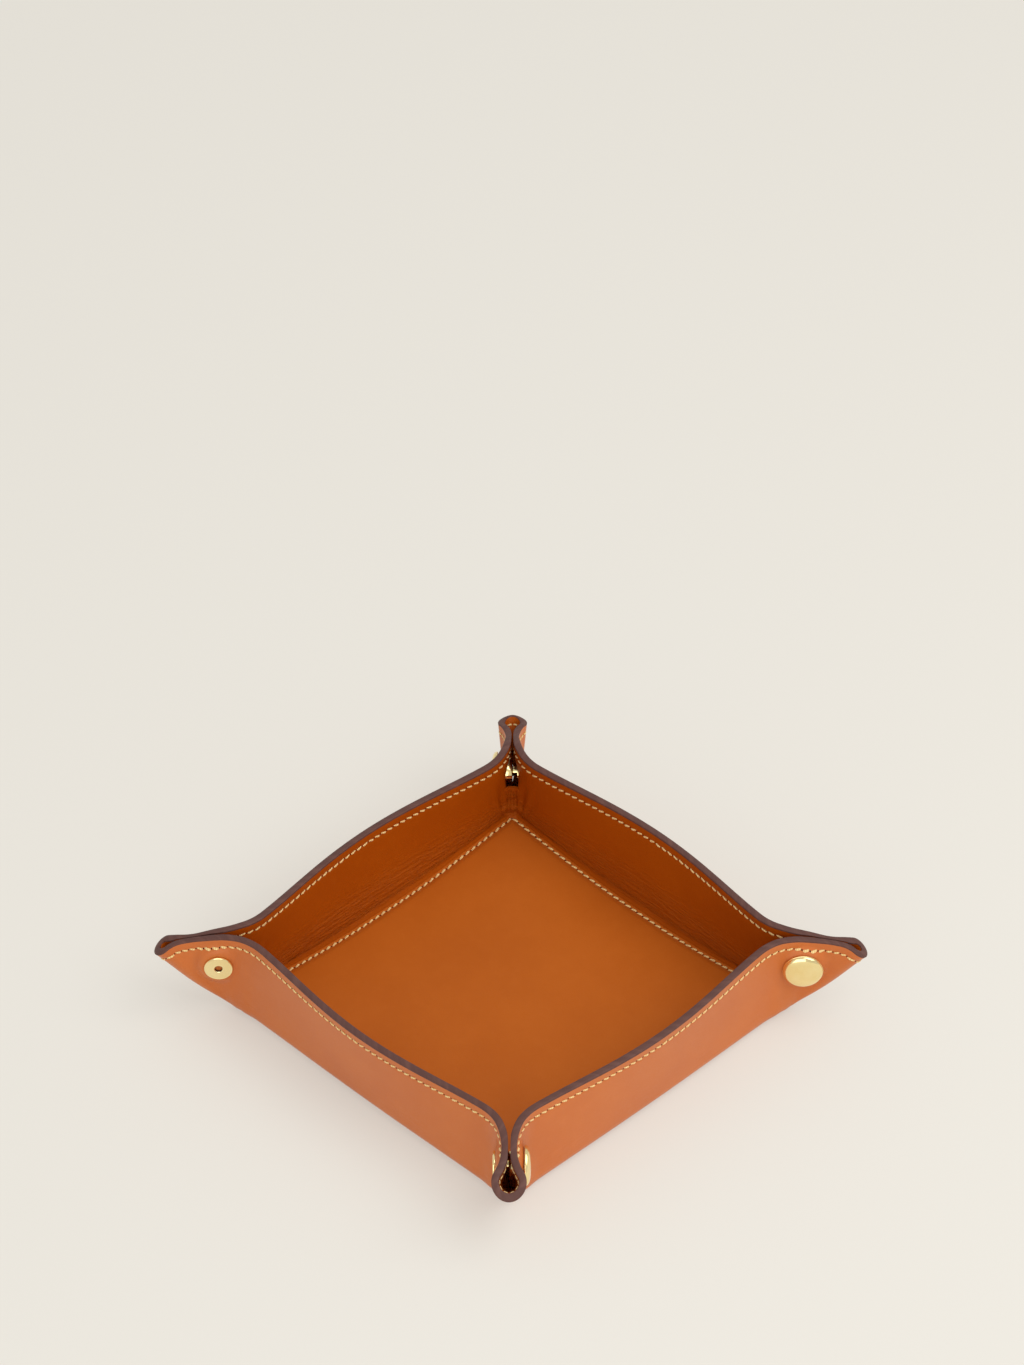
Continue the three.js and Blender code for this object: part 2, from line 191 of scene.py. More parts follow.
def spin(point: np.ndarray, axis: np.ndarray, angle: Number) -> np.ndarray:
    """Turns points about an axis through the origin.

    Args:
        point: one point or many.
        axis: a unit vector.
        angle: the turn in radians, one or one for each point.

    Returns:
        The turned points.
    """
    turn = np.asarray(angle, float)[..., None]
    lengthwise = np.asarray(point @ axis)[..., None] * axis
    return point * np.cos(turn) + np.cross(axis, point) * np.sin(turn) + lengthwise * (1 - np.cos(turn))


def angle_about(axis: np.ndarray, first: np.ndarray, last: np.ndarray) -> float:
    """The turn about an axis that takes one direction to another, in radians."""
    a = first - axis * (axis @ first)
    b = last - axis * (axis @ last)
    return float(math.atan2(np.cross(a, b) @ axis, a @ b))


def unit(vector: np.ndarray) -> np.ndarray:
    """The vector at a length of 1."""
    return vector / np.linalg.norm(vector)


def quarter_turn(points: np.ndarray, quarters: int) -> np.ndarray:
    """Turns points about the upright axis by a number of quarter turns."""
    angle = quarters * math.pi / 2
    c, s = round(math.cos(angle)), round(math.sin(angle))
    turned = points.copy()
    turned[..., 0] = c * points[..., 0] - s * points[..., 1]
    turned[..., 1] = s * points[..., 0] + c * points[..., 1]
    return turned


@dataclass(frozen=True)
class Sweep:
    """The cone on which a wall turns outwards towards the pinch."""

    axis: np.ndarray
    leave: np.ndarray
    start: float
    pinch: float
    elevation: float
    lean_normal: np.ndarray
    lean_up: np.ndarray


@dataclass(frozen=True)
class Loop:
    """The flared half of an ear and the round fold at its ridge."""

    flare_axis: np.ndarray
    parting: np.ndarray
    flare_start: float
    axis: np.ndarray
    touch: np.ndarray
    start: float
    radius: float
    ridge_elevation: float
    end: float


@dataclass(frozen=True)
class FoldedSheet:
    """The lined leather as it stands: flat places to points in space, in millimetres and degrees."""

    side: float = 200.0
    corner_radius: float = 15.0
    base_half: float = 64.5
    base_corner: float = 1.6
    thickness: float = 2.4
    squeeze: float = 0.7
    wall_angle: float = 94.0
    wall_bow: float = 5.8
    wall_fold: float = 6.0
    ridge_fold: float = 7.5
    corner_sweep: float = 30.0
    pinch_lean: float = 2.5
    ear_flare: float = 40.0
    ear_droop: float = 0.25
    droop_start: float = 20.0
    flare_sweep: float = 25.0
    ear_start: float = -5.0
    stitch_inset: float = 3.5
    groove_depth: float = 0.16
    groove_width: float = 1.3
    groove_from: float = 0.4
    pucker: float = 0.45
    pucker_pitch: float = 13.0
    pucker_shift: float = 2.0
    pucker_angles: Span = (-34.0, -10.0)
    pucker_drop: float = 0.6
    pucker_drop_angles: Span = (4.0, 14.0)
    pucker_reach: Span = (2.0, 30.0)
    corner_rise: float = 4.6
    corner_spread: float = 52.0
    corner_steepness: float = 1.5
    corner_fade: Span = (2.0, 15.0)
    ridge_sag: float = 0.0
    sag_angles: Span = (10.0, 45.0)
    sag_reach: Span = (3.0, 46.5)
    fold_fill: float = 1.9
    fold_fill_height: float = 5.0
    fold_fill_fade: Span = (8.0, 17.0)
    flank_pull: float = 0.0
    flank_start: Span = (6.0, 28.0)
    flank_end: Span = (35.0, 45.0)
    flank_reach: Span = (24.0, 46.0)
    fairing: float = 0.8
    fairing_angle: float = -8.0
    fairing_width: float = 3.6
    fairing_start: Span = (3.0, 8.0)
    fairing_end: Span = (9.0, 26.0)
    meeting_angles: Span = (22.5, 45.0)
    least_closing: float = 0.02
    probe: float = 0.02

    @property
    def half(self) -> float:
        """Half of the flat square."""
        return self.side / 2

    @property
    def centre(self) -> float:
        """The middle of the base's corner rounding, from which the corner's rays fan out."""
        return self.base_half - self.base_corner

    @property
    def rise(self) -> float:
        """The wall's height along the leather."""
        return self.half - self.base_half

    @property
    def lean(self) -> float:
        """The wall's angle from the floor, in radians."""
        return math.radians(self.wall_angle)

    @cached_property
    def sweep(self) -> Sweep:
        """The cone from the wall's plane to the pinched plane."""
        half_cone = math.radians(self.corner_sweep)
        lean = math.radians(self.pinch_lean)
        normal = ACROSS * math.cos(lean) + UP * math.sin(lean)
        lean_up = UP * math.cos(lean) - ACROSS * math.sin(lean)
        wall_normal = np.array([math.sin(self.lean), 0.0, -math.cos(self.lean)])
        match = float(wall_normal @ normal)
        share = math.sin(half_cone) / (1 + match)
        along = np.cross(normal, wall_normal)
        climb = math.sqrt(1 - 2 * share * share * (1 + match)) / np.linalg.norm(along)
        axis = share * (wall_normal + normal) + climb * along
        leave = unit(axis - math.sin(half_cone) * wall_normal)
        arrive = unit(axis - math.sin(half_cone) * normal)
        start = math.asin(leave[1])
        pinch = start - angle_about(axis, leave, arrive) * math.sin(half_cone)
        return Sweep(axis, leave, start, pinch, math.asin(arrive @ lean_up), normal, lean_up)

    def _pinched(self, elevation: Number) -> np.ndarray:
        """Directions in the pinched plane at the elevations given."""
        tilt = np.asarray(elevation, float)[..., None]
        return DIAGONAL * np.cos(tilt) + self.sweep.lean_up * np.sin(tilt)

    def _loop_after(self, straight: float) -> Loop:
        """The flare and ridge fold that follow a straight pinch of the angle given."""
        cone, flare = math.radians(self.flare_sweep), math.radians(self.ear_flare)
        sweep = self.sweep
        parting = self._pinched(sweep.elevation - straight)
        flare_axis = parting * math.cos(cone) + sweep.lean_normal * math.sin(cone)
        touch = spin(parting, flare_axis, -flare)
        outward = unit(flare_axis - touch * math.cos(cone))
        radius = math.atan2(touch @ ACROSS, outward @ ACROSS)
        axis = touch * math.cos(radius) - outward * math.sin(radius)
        ridge = math.asin(axis[2]) - radius
        curl = angle_about(axis, touch, DIAGONAL * math.cos(ridge) + UP * math.sin(ridge))
        flare_start = sweep.pinch + straight
        start = flare_start + flare * math.sin(cone)
        end = start + curl * math.sin(radius)
        return Loop(flare_axis, parting, flare_start, axis, touch, start, radius, ridge, end)

    @cached_property
    def loop(self) -> Loop:
        """The flare and ridge fold whose leather ends exactly on the corner's diagonal."""
        low, high = 0.0, QUARTER
        for _ in range(50):
            middle = (low + high) / 2
            if self._loop_after(middle).end < QUARTER:
                low = middle
            else:
                high = middle
        return self._loop_after(low)

    def ray(self, angle: Number) -> np.ndarray:
        """Directions in space of the corner's rays at the flat angles given."""
        turn = np.asarray(angle, float)
        sweep, loop = self.sweep, self.loop
        lean, cone = self.lean, math.sin(math.radians(self.corner_sweep))
        flare = math.sin(math.radians(self.flare_sweep))
        flat = [np.cos(turn) * math.cos(lean), np.sin(turn), np.cos(turn) * math.sin(lean)]
        stages = [
            np.stack(flat, -1),
            spin(sweep.leave, sweep.axis, (sweep.start - turn) / cone),
            self._pinched(sweep.elevation - (turn - sweep.pinch)),
            spin(loop.parting, loop.flare_axis, (loop.flare_start - turn) / flare),
        ]
        result = spin(loop.touch, loop.axis, (turn - loop.start) / math.sin(loop.radius))
        limits = [sweep.start, sweep.pinch, loop.flare_start, loop.start]
        for stage, limit in zip(reversed(stages), reversed(limits)):
            result = np.where((turn < limit)[..., None], stage, result)
        return result

    def middle(self, u: Grid, v: Grid) -> np.ndarray:
        """The middle of the leather's thickness over flat places, with the base at a height of 0."""
        place = np.abs(v)
        sight = np.arctan2(place - self.centre, u - self.centre)
        fan = sight > self.sweep.start
        angle = np.where(fan, np.minimum(sight, QUARTER), 0.0)
        low = angle < 0
        share = np.maximum(angle, 0) / QUARTER
        reach = np.where(low, self.base_corner / np.cos(angle), self.base_corner)
        height = np.where(fan, np.hypot(u - self.centre, place - self.centre) - reach, u - self.base_half)
        none = np.zeros_like(height)
        corner = np.stack([self.centre + reach * np.cos(angle), self.centre + reach * np.sin(angle), none], -1)
        foot = np.where(fan[..., None], corner, np.stack([self.base_half + none, place, none], -1))
        wall_ray = np.stack([none + math.cos(self.lean), none, none + math.sin(self.lean)], -1)
        ray = np.where(fan[..., None], self.ray(angle), wall_ray)
        tilt = self.lean + (self.loop.ridge_elevation - self.lean) * share
        bend = np.where(
            low, self.wall_fold / np.cos(angle), self.wall_fold + (self.ridge_fold - self.wall_fold) * share
        )
        part = np.clip(height / bend, 0, 1)
        run, climb = np.sin(part * tilt) / tilt, (1 - np.cos(part * tilt)) / tilt
        upward = np.where(low, np.cos(angle), 1.0)
        arc = np.stack([np.cos(angle) * run, np.sin(angle) * np.where(low, part, run), upward * climb], -1)
        sideways = np.sin(angle) * np.where(low, 1.0, np.cos(tilt))
        plain = np.stack([np.cos(angle) * np.cos(tilt), sideways, upward * np.sin(tilt)], -1)
        points = foot + arc * bend[..., None] + (ray - plain) * (bend * part * part / 2)[..., None]
        points = points + ray * np.maximum(height - bend, 0)[..., None]
        belly = (1 - np.minimum(place / self.centre, 1) ** 2) ** 2
        points[..., 0] += self.wall_bow * (height / self.rise) * belly
        points = np.where((height <= 0)[..., None], np.stack([u, place, none], -1), points)
        points[..., 1] *= np.where(v < 0, -1.0, 1.0)
        return points

    def inward(self, u: Grid, v: Grid) -> np.ndarray:
        """Unit normals towards the lining over flat places."""
        here = self.middle(u, v)
        outwards = self.middle(u + self.probe, v) - here
        aside = self.middle(u, np.where(v < 0, v + self.probe, v - self.probe))
        along = np.where((v < 0)[..., None], aside - here, here - aside)
        normal = np.cross(outwards, along)
        return normal / np.linalg.norm(normal, axis=-1, keepdims=True)

    def rim(self, angle: Number) -> np.ndarray:
        """How far the corner's rays reach to the cut edge of the square."""
        turn = np.asarray(angle, float)
        straight = (self.half - self.centre) / np.cos(turn)
        offset = self.half - self.corner_radius - self.centre
        middle = offset * (np.cos(turn) + np.sin(turn))
        rounded = np.sqrt(np.maximum(middle**2 - 2 * offset**2 + self.corner_radius**2, 0))
        return np.where(straight * np.sin(turn) < offset, straight, middle + rounded)

    def edge_gap(self, u: Grid, v: Grid) -> np.ndarray:
        """How far flat places are from the cut edge of the square."""
        x, y = np.abs(u), np.abs(v)
        limit = self.half - self.corner_radius
        corner = np.hypot(np.maximum(x - limit, 0), np.maximum(y - limit, 0))
        rounded = self.corner_radius - corner
        return np.where((x > limit) & (y > limit), rounded, self.half - np.maximum(x, y))

    def fan(self, u: Grid, v: Grid) -> tuple[np.ndarray, np.ndarray]:
        """The flat angle in degrees and the reach of flat places, from the middle of the corner's rounding."""
        x, y = np.abs(u) - self.centre, np.abs(v) - self.centre
        return np.degrees(np.arctan2(y, x)), np.hypot(x, y)

    def above(self, u: Grid, v: Grid) -> np.ndarray:
        """How far along the leather flat places lie above the base's edge."""
        _, reach = self.fan(u, v)
        return np.where(np.abs(v) > self.centre, reach - self.base_corner, np.abs(u) - self.base_half)

    def relief(self, u: Grid, v: Grid) -> np.ndarray:
        """The soft puckers that rise from the base's corners, towards the lining."""
        angle, reach = self.fan(u, v)
        drop = self.pucker_drop * smooth(*self.pucker_drop_angles, angle)
        waves = np.cos(np.radians(360.0 * (angle + self.pucker_shift) / self.pucker_pitch))
        return self.pucker * smooth(*self.pucker_angles, angle) * (1 - drop) * waves * bell(*self.pucker_reach, reach)

    def softening(self, u: Grid, v: Grid) -> np.ndarray:
        """How far the outer leather bridges the tight foot of the bend from a wall to its ear."""
        angle, reach = self.fan(u, v)
        turn = np.radians(angle - self.fairing_angle)
        off = np.where(np.cos(turn) > 0, reach * np.sin(turn), np.inf) / self.fairing_width
        near = smooth(*self.fairing_start, reach) * (1 - smooth(*self.fairing_end, reach))
        return self.fairing * np.exp(-(off**2)) * near

    def filling(self, u: Grid, v: Grid) -> np.ndarray:
        """How far the lining stands off in the fold between the base and a wall."""
        above = self.above(u, v)
        height = np.maximum(above, 0.0) / self.fold_fill_height
        fade = smooth(*self.fold_fill_fade, np.where(np.abs(v) > self.centre, above, 0.0))
        return self.fold_fill * height * np.exp(1 - height) * (1 - fade)

    def corner_lift(self, u: Grid, v: Grid) -> np.ndarray:
        """How far the pinch pulls the lining up at the base's corners."""
        _, reach = self.fan(u, v)
        return self.corner_rise * np.clip(1 - reach / self.corner_spread, 0.0, 1.0) ** self.corner_steepness

    def foot_lift(self, u: Grid, v: Grid) -> np.ndarray:
        """What is left of the corners' lift above the base's edge."""
        return self.corner_lift(u, v) * (1 - smooth(*self.corner_fade, self.above(u, v)))

    def sag(self, u: Grid, v: Grid) -> np.ndarray:
        """How far the leather beside a ridge hangs below the ear's own line."""
        angle, reach = self.fan(u, v)
        return self.ridge_sag * smooth(*self.sag_angles, angle) * bell(*self.sag_reach, reach)

    def flank(self, u: Grid, v: Grid) -> np.ndarray:
        """How far the cut edge falls back on an ear's flanks, beside its ridge."""
        angle, reach = self.fan(u, v)
        beside = smooth(*self.flank_start, angle) * (1 - smooth(*self.flank_end, angle))
        return self.flank_pull * beside * smooth(*self.flank_reach, reach)

    def droop(self, points: np.ndarray) -> np.ndarray:
        """How far points of an ear sink under its own weight."""
        past = (points[..., 0] + np.abs(points[..., 1])) * HALF_ROOT - self.centre / HALF_ROOT
        past = np.maximum(past, 0.0)
        return self.ear_droop * past**3 / (past**2 + self.droop_start**2)

    def leather(self, u: Grid, v: Grid, depth: Number) -> np.ndarray:
        """Points of the lined leather.

        Args:
            u: flat places outwards from the middle of the base.
            v: flat places along the side.
            depth: the distance from the middle of the thickness, towards the lining.

        Returns:
            The points, with the underside of the base at a height of 0.
        """
        u, v = (np.asarray(part, float) for part in np.broadcast_arrays(u, v))
        depth = np.broadcast_to(np.asarray(depth, float), u.shape)
        points, normal = self.middle(u, v), self.inward(u, v)
        away = np.stack([np.full_like(u, HALF_ROOT), np.where(v < 0, HALF_ROOT, -HALF_ROOT), np.zeros_like(u)], -1)
        closing = -(normal * away).sum(-1)
        part = depth / (self.thickness / 2)
        wanted = depth + np.clip(part, 0.0, 1.0) * (self.relief(u, v) + self.filling(u, v))
        wanted = wanted - np.clip(-part, 0.0, 1.0) * self.softening(u, v)
        gap = self.edge_gap(u, v) - self.stitch_inset
        groove = self.groove_depth * np.exp(-((gap / self.groove_width * 2) ** 2))
        wanted = wanted - np.sign(depth) * groove * (np.abs(depth) > self.groove_from * self.thickness)
        clear = self.squeeze * (points * away).sum(-1)
        most = np.where(closing > self.least_closing, clear / np.maximum(closing, self.least_closing), wanted)
        points = points + normal * np.minimum(wanted, most)[..., None]
        lift = np.clip((1 + part) / 2, 0.0, 1.0) * self.foot_lift(u, v)
        points[..., 2] += self.thickness / 2 - self.droop(points) + lift - self.sag(u, v)
        return points

    def closed(self, u: Grid, v: Grid, depth: Number) -> np.ndarray:
        """Points of the lined leather, drawn in so that the two halves of an ear meet at the ridge."""
        u, v = (np.asarray(part, float) for part in np.broadcast_arrays(u, v))
        points = self.leather(u, v, depth)
        angle, reach = self.fan(u, v)
        ridge_place = reach * HALF_ROOT + self.centre
        pull = self.leather(ridge_place, ridge_place, depth) @ ACROSS * smooth(*self.meeting_angles, angle)
        back = self.flank(u, v)
        points[..., 0] -= HALF_ROOT * (pull + back)
        points[..., 1] += HALF_ROOT * (pull - back) * np.where(v < 0, -1.0, 1.0)
        points[..., 2] -= back
        return points


SHEET = FoldedSheet()
CORNERS = tuple(
    FoldedSheet(ear_flare=flare, ear_droop=droop, flank_pull=pull, ridge_sag=sag)
    for flare, droop, pull, sag in (
        (38.0, 0.25, 0.0, 1.8), (42.0, 0.25, 1.6, 0.0), (38.0, 0.25, 0.0, 1.8), (44.5, 0.33, 0.0, 0.0),
    )
)


class Wire:
    """A shader socket that can stand in Python expressions."""

    def __init__(self, bench: "Bench", socket: bpy.types.NodeSocket) -> None:
        """Keeps the socket with the bench that its nodes stand on."""
        self.bench = bench
        self.socket = socket

    @property
    def is_vector(self) -> bool:
        """Whether the socket carries a vector or a colour."""
        return self.socket.type in {"VECTOR", "RGBA"}

    def _with(self, operation: str, first: Any, second: Any) -> "Wire":
        """One Math or Vector Math node for an operator.

        Args:
            operation: the node's operation.
            first: the first value, number or wire.
            second: the second value, number or wire.

        Returns:
            The wire of the result.
        """
        if any(isinstance(part, Wire) and part.is_vector for part in (first, second)):
            lifted = [(part,) * 3 if isinstance(part, (int, float)) else part for part in (first, second)]
            sockets = dict(enumerate(lifted))
            return self.bench.node("ShaderNodeVectorMath", {"operation": operation}, sockets)["Vector"]
        return self.bench.node("ShaderNodeMath", {"operation": operation}, {0: first, 1: second})["Value"]

    def __add__(self, other: Any) -> "Wire":
        """The sum."""
        return self._with("ADD", self, other)

    def __radd__(self, other: Any) -> "Wire":
        """The sum, reflected."""
        return self._with("ADD", other, self)

    def __sub__(self, other: Any) -> "Wire":
        """The difference."""
        return self._with("SUBTRACT", self, other)

    def __rsub__(self, other: Any) -> "Wire":
        """The difference, reflected."""
        return self._with("SUBTRACT", other, self)

    def __mul__(self, other: Any) -> "Wire":
        """The product."""
        return self._with("MULTIPLY", self, other)

    def __rmul__(self, other: Any) -> "Wire":
        """The product, reflected."""
        return self._with("MULTIPLY", other, self)

    def ramp(self, low: float, high: float) -> "Wire":
        """The value from low to high as an eased step from 0 to 1."""
        settings = {"interpolation_type": "SMOOTHSTEP"}
        return self.bench.node("ShaderNodeMapRange", settings, {0: self, 1: low, 2: high})["Result"]


class Outputs:
    """The outputs of one node, by name or number, as wires."""

    def __init__(self, bench: "Bench", node: bpy.types.Node) -> None:
        """Keeps the node with its bench."""
        self.bench = bench
        self.node = node

    def __getitem__(self, key: Union[str, int]) -> Wire:
        """The wire of one output."""
        return Wire(self.bench, self.node.outputs[key])


class Bench:
    """The node tree of one material or world, with the one method that adds a node."""

    def __init__(self, tree: bpy.types.NodeTree) -> None:
        """Takes the tree and clears it."""
        self.tree = tree
        tree.nodes.clear()

    def node(self, kind: str, settings: dict[str, Any], sockets: dict[Any, Any]) -> Outputs:
        """Adds a node.

        Args:
            kind: the node's type.
            settings: its settings, which are set first.
            sockets: values, or wires to link, by the inputs' names or numbers.

        Returns:
            The node's outputs.
        """
        made = self.tree.nodes.new(kind)
        for name, value in settings.items():
            setattr(made, name, value)
        for key, value in sockets.items():
            if isinstance(value, Wire):
                self.tree.links.new(value.socket, made.inputs[key])
            else:
                made.inputs[key].default_value = value
        return Outputs(self, made)

    def mix(self, first: Any, second: Any, share: Any) -> Wire:
        """Two colours mixed by a share from 0 to 1 of the second."""
        sockets = {0: share, 6: self.colour(first), 7: self.colour(second)}
        return self.node("ShaderNodeMix", {"data_type": "RGBA"}, sockets)[2]

    @staticmethod
    def colour(tone: Any) -> Any:
        """A tone as the shader's own numbers, or a wire as it is."""
        return tone if isinstance(tone, Wire) else linear(*tone)

    def bump(self, height: Wire, strength: float, distance: float) -> Wire:
        """Normals that follow a height, at a strength and over a distance in metres."""
        sockets = {"Strength": strength, "Distance": distance, "Height": height}
        return self.node("ShaderNodeBump", {}, sockets)["Normal"]

    def within(self) -> Wire:
        """The place of the surface in the piece's own frame."""
        return self.node("ShaderNodeTexCoord", {}, {})["Object"]

    def flat(self) -> Wire:
        """The flat place of the surface, from the piece's map."""
        return self.node("ShaderNodeUVMap", {"uv_map": FLAT_MAP}, {})["UV"]

    def noise(self, place: Wire, scale: float, detail: float = 3.0, rough: float = 0.55) -> Wire:
        """Soft noise over a place, from 0 to 1."""
        sockets = {"Vector": place, "Scale": scale, "Detail": detail, "Roughness": rough}
        return self.node("ShaderNodeTexNoise", {}, sockets)["Fac"]

    def surface(self, shader: Outputs) -> None:
        """Ends a material's tree in a shader."""
        self.node("ShaderNodeOutputMaterial", {}, {"Surface": shader[0]})


def linear(red: int, green: int, blue: int) -> tuple[float, float, float, float]:
    """A colour as a screen writes it, in 0 to 255, as the shader's own numbers."""

    def channel(value: int) -> float:
        """One channel without its screen curve."""
        part = value / 255
        return part / 12.92 if part <= 0.04045 else ((part + 0.055) / 1.055) ** 2.4

    return (channel(red), channel(green), channel(blue), 1.0)


def new_material(name: str) -> tuple[bpy.types.Material, Bench]:
    """A fresh material with the bench of its tree."""
    made = bpy.data.materials.new(name)
    made.use_nodes = True
    return made, Bench(made.node_tree)


class Finish:
    """A finish, which sets the sockets of one plain shader."""

    name: str

    def sockets(self, bench: Bench) -> dict[str, Any]:
        """The values and wires of the shader's sockets."""
        raise NotImplementedError

    def material(self) -> bpy.types.Material:
        """The finished material."""
        made, bench = new_material(self.name)
        bench.surface(bench.node("ShaderNodeBsdfPrincipled", {}, self.sockets(bench)))
        return made


@dataclass(frozen=True)
class LeatherFinish(Finish):
    """Smooth tan leather with a fine grain, soft mottling and wrinkles above the fold, sizes in millimetres."""

    name: str
    tone: Tone
    deep: Tone
    pale: Tone
    roughness: float = 0.44
    mottle_size: float = 30.0
    cloud_size: float = 5.0
    grain_size: float = 0.55
    speck_size: float = 0.3
    grain_strength: float = 0.16
    wrinkles: float = 0.0
    wrinkle_size: float = 1.1
    wrinkle_stretch: tuple[float, float, float] = (0.16, 1.0, 1.0)
    wrinkle_start: Span = (0.5, 3.0)
    wrinkle_end: Span = (8.0, 22.0)
    gloss: float = 0.5
    glint: Tone = (255, 236, 222)

    def sockets(self, bench: Bench) -> dict[str, Any]:
        """The values and wires of the shader's sockets."""
        place, side = bench.flat(), SHEET.side
        mottle = bench.noise(place, side / self.mottle_size, 4.0)
        cloud = bench.noise(place, side / self.cloud_size, 3.0, 0.5)
        cells = {"Vector": place, "Scale": side / self.grain_size, "Randomness": 1.0}
        edges = bench.node("ShaderNodeTexVoronoi", {"feature": "DISTANCE_TO_EDGE"}, cells)["Distance"]
        pores = edges.ramp(0.0, 0.16)
        colour = bench.mix(self.deep, self.tone, mottle.ramp(0.2, 0.8))
        colour = bench.mix(colour, self.pale, cloud.ramp(0.45, 0.85) * 0.2)
        colour = bench.mix(colour, self.deep, (1 - pores) * 0.3)
        grain = pores * 0.6 + bench.noise(place, side / self.speck_size, 2.0) * 0.4
        height = grain * self.grain_strength + cloud * 0.25
        if self.wrinkles:
            height = height + self.wrinkle(bench, place) * self.wrinkles
        return {
            "Base Color": colour, "Roughness": self.roughness + (mottle - 0.5) * 0.08 + (1 - pores) * 0.08,
            "Normal": bench.bump(height, 0.7, 0.00028), "Specular IOR Level": self.gloss,
            "Specular Tint": linear(*self.glint)}

    def wrinkle(self, bench: Bench, place: Wire) -> Wire:
        """Fine creases along the wall just above its fold, as a height from 0 to 1."""
        stretch = {0: place, 1: self.wrinkle_stretch}
        stretched = bench.node("ShaderNodeVectorMath", {"operation": "MULTIPLY"}, stretch)["Vector"]
        lines = bench.noise(stretched, SHEET.side / self.wrinkle_size, 4.0, 0.62)
        across = bench.node("ShaderNodeSeparateXYZ", {}, {0: place})["Y"]
        height = (across - 0.5) * SHEET.side - SHEET.base_half
        return lines.ramp(0.3, 0.7) * height.ramp(*self.wrinkle_start) * (1 - height.ramp(*self.wrinkle_end))


@dataclass(frozen=True)
class EdgeFinish(Finish):
    """Painted and polished leather edge."""

    name: str = "painted_edge"
    paint: Tone = (92, 59, 52)
    worn: Tone = (108, 72, 63)

    def sockets(self, bench: Bench) -> dict[str, Any]:
        """The values and wires of the shader's sockets."""
        place = bench.flat()
        wear = bench.noise(place, SHEET.side / 4.0, 4.0)
        fine = bench.noise(place, SHEET.side / 0.5, 2.0)
        return {
            "Base Color": bench.mix(self.paint, self.worn, wear.ramp(0.4, 0.75)), "Roughness": 0.5 + fine * 0.14,
            "Normal": bench.bump(wear * 0.6 + fine * 0.4, 0.3, 0.0002), "Specular IOR Level": 0.3}


@dataclass(frozen=True)
class ThreadFinish(Finish):
    """Waxed linen thread with its twist."""

    name: str = "waxed_thread"
    pale: Tone = (246, 218, 152)
    shade: Tone = (218, 174, 100)
    twists: float = 5.0

    def sockets(self, bench: Bench) -> dict[str, Any]:
        """The values and wires of the shader's sockets."""
        parts = bench.node("ShaderNodeSeparateXYZ", {}, {0: bench.flat()})
        phase = (parts["X"] * self.twists + parts["Y"]) * (2 * math.pi)
        wave = bench.node("ShaderNodeMath", {"operation": "SINE"}, {0: phase})["Value"] * 0.5 + 0.5
        return {
            "Base Color": bench.mix(self.shade, self.pale, wave.ramp(0.05, 0.6)), "Roughness": 0.62 - wave * 0.08,
            "Normal": bench.bump(wave, 0.6, 0.0001), "Sheen Weight": 0.2}


@dataclass(frozen=True)
class NeedleHoleShadeFinish(Finish):
    """Painted shade: the dark colour that stands in for the shade inside a needle hole or the post's bore."""

    name: str = "needle_hole"
    dark: Tone = (58, 26, 10)
    brown: Tone = (92, 44, 18)

    def sockets(self, bench: Bench) -> dict[str, Any]:
        """The values and wires of the shader's sockets."""
        spot = bench.noise(bench.flat(), 14.0, 2.0)
        return {"Base Color": bench.mix(self.dark, self.brown, spot), "Roughness": 0.8, "Specular IOR Level": 0.2}


@dataclass(frozen=True)
class BrassFinish(Finish):
    """Polished brass with a faint haze and handling marks."""

    name: str = "polished_brass"
    bright: Tone = (255, 236, 178)
    dull: Tone = (248, 222, 152)
    roughness: float = 0.09

    def sockets(self, bench: Bench) -> dict[str, Any]:
        """The values and wires of the shader's sockets."""
        place = bench.within()
        haze = bench.noise(place, 120.0, 3.0, 0.5)
        marks = bench.noise(place, 2400.0, 2.0, 0.5)
        return {
            "Base Color": bench.mix(self.bright, self.dull, haze.ramp(0.35, 0.8)), "Metallic": 1.0,
            "Roughness": self.roughness + haze * 0.06, "Normal": bench.bump(marks, 0.02, 0.0001)}


@dataclass(frozen=True)
class BoardFinish(Finish):
    """Raw fibreboard."""

    name: str = "raw_fibreboard"
    light: Tone = (176, 150, 116)
    dark: Tone = (138, 112, 82)

    def sockets(self, bench: Bench) -> dict[str, Any]:
        """The values and wires of the shader's sockets."""
        fibre = bench.noise(bench.within(), 900.0, 5.0, 0.7)
        return {
            "Base Color": bench.mix(self.dark, self.light, fibre.ramp(0.3, 0.7)), "Roughness": 0.85,
            "Normal": bench.bump(fibre, 0.4, 0.0002)}


class Finishes:
    """The materials of the tray, each made once."""

    def __init__(self) -> None:
        """Makes every material."""
        self.outer = LeatherFinish(
            "outer_tan_leather", (205, 113, 50), (196, 103, 43), (214, 127, 63), roughness=0.31, wrinkles=0.2
        ).material()
        # Painted shade: the inner walls' lining and the base's floor are one lining leather made as two copies; the
        # wall copy here is darker to stand in for the shade on the inner walls, and the floor copy is the lighter
        # one.
        self.lining = LeatherFinish(
            "lining_tan_leather", (170, 78, 6), (160, 70, 4), (180, 88, 14), roughness=0.38, wrinkles=1.9,
            gloss=0.22, glint=(255, 206, 160)
        ).material()
        self.floor = LeatherFinish(
            "floor_tan_leather", (190, 97, 26), (182, 90, 21), (196, 104, 34), roughness=0.44,
            gloss=0.26, glint=(255, 206, 160)
        ).material()
        self.edge = EdgeFinish().material()
        self.thread = ThreadFinish().material()
        # Painted shade for the needle holes and the post's bore.
        self.hole = NeedleHoleShadeFinish().material()
        self.brass = BrassFinish().material()
        self.board = BoardFinish().material()


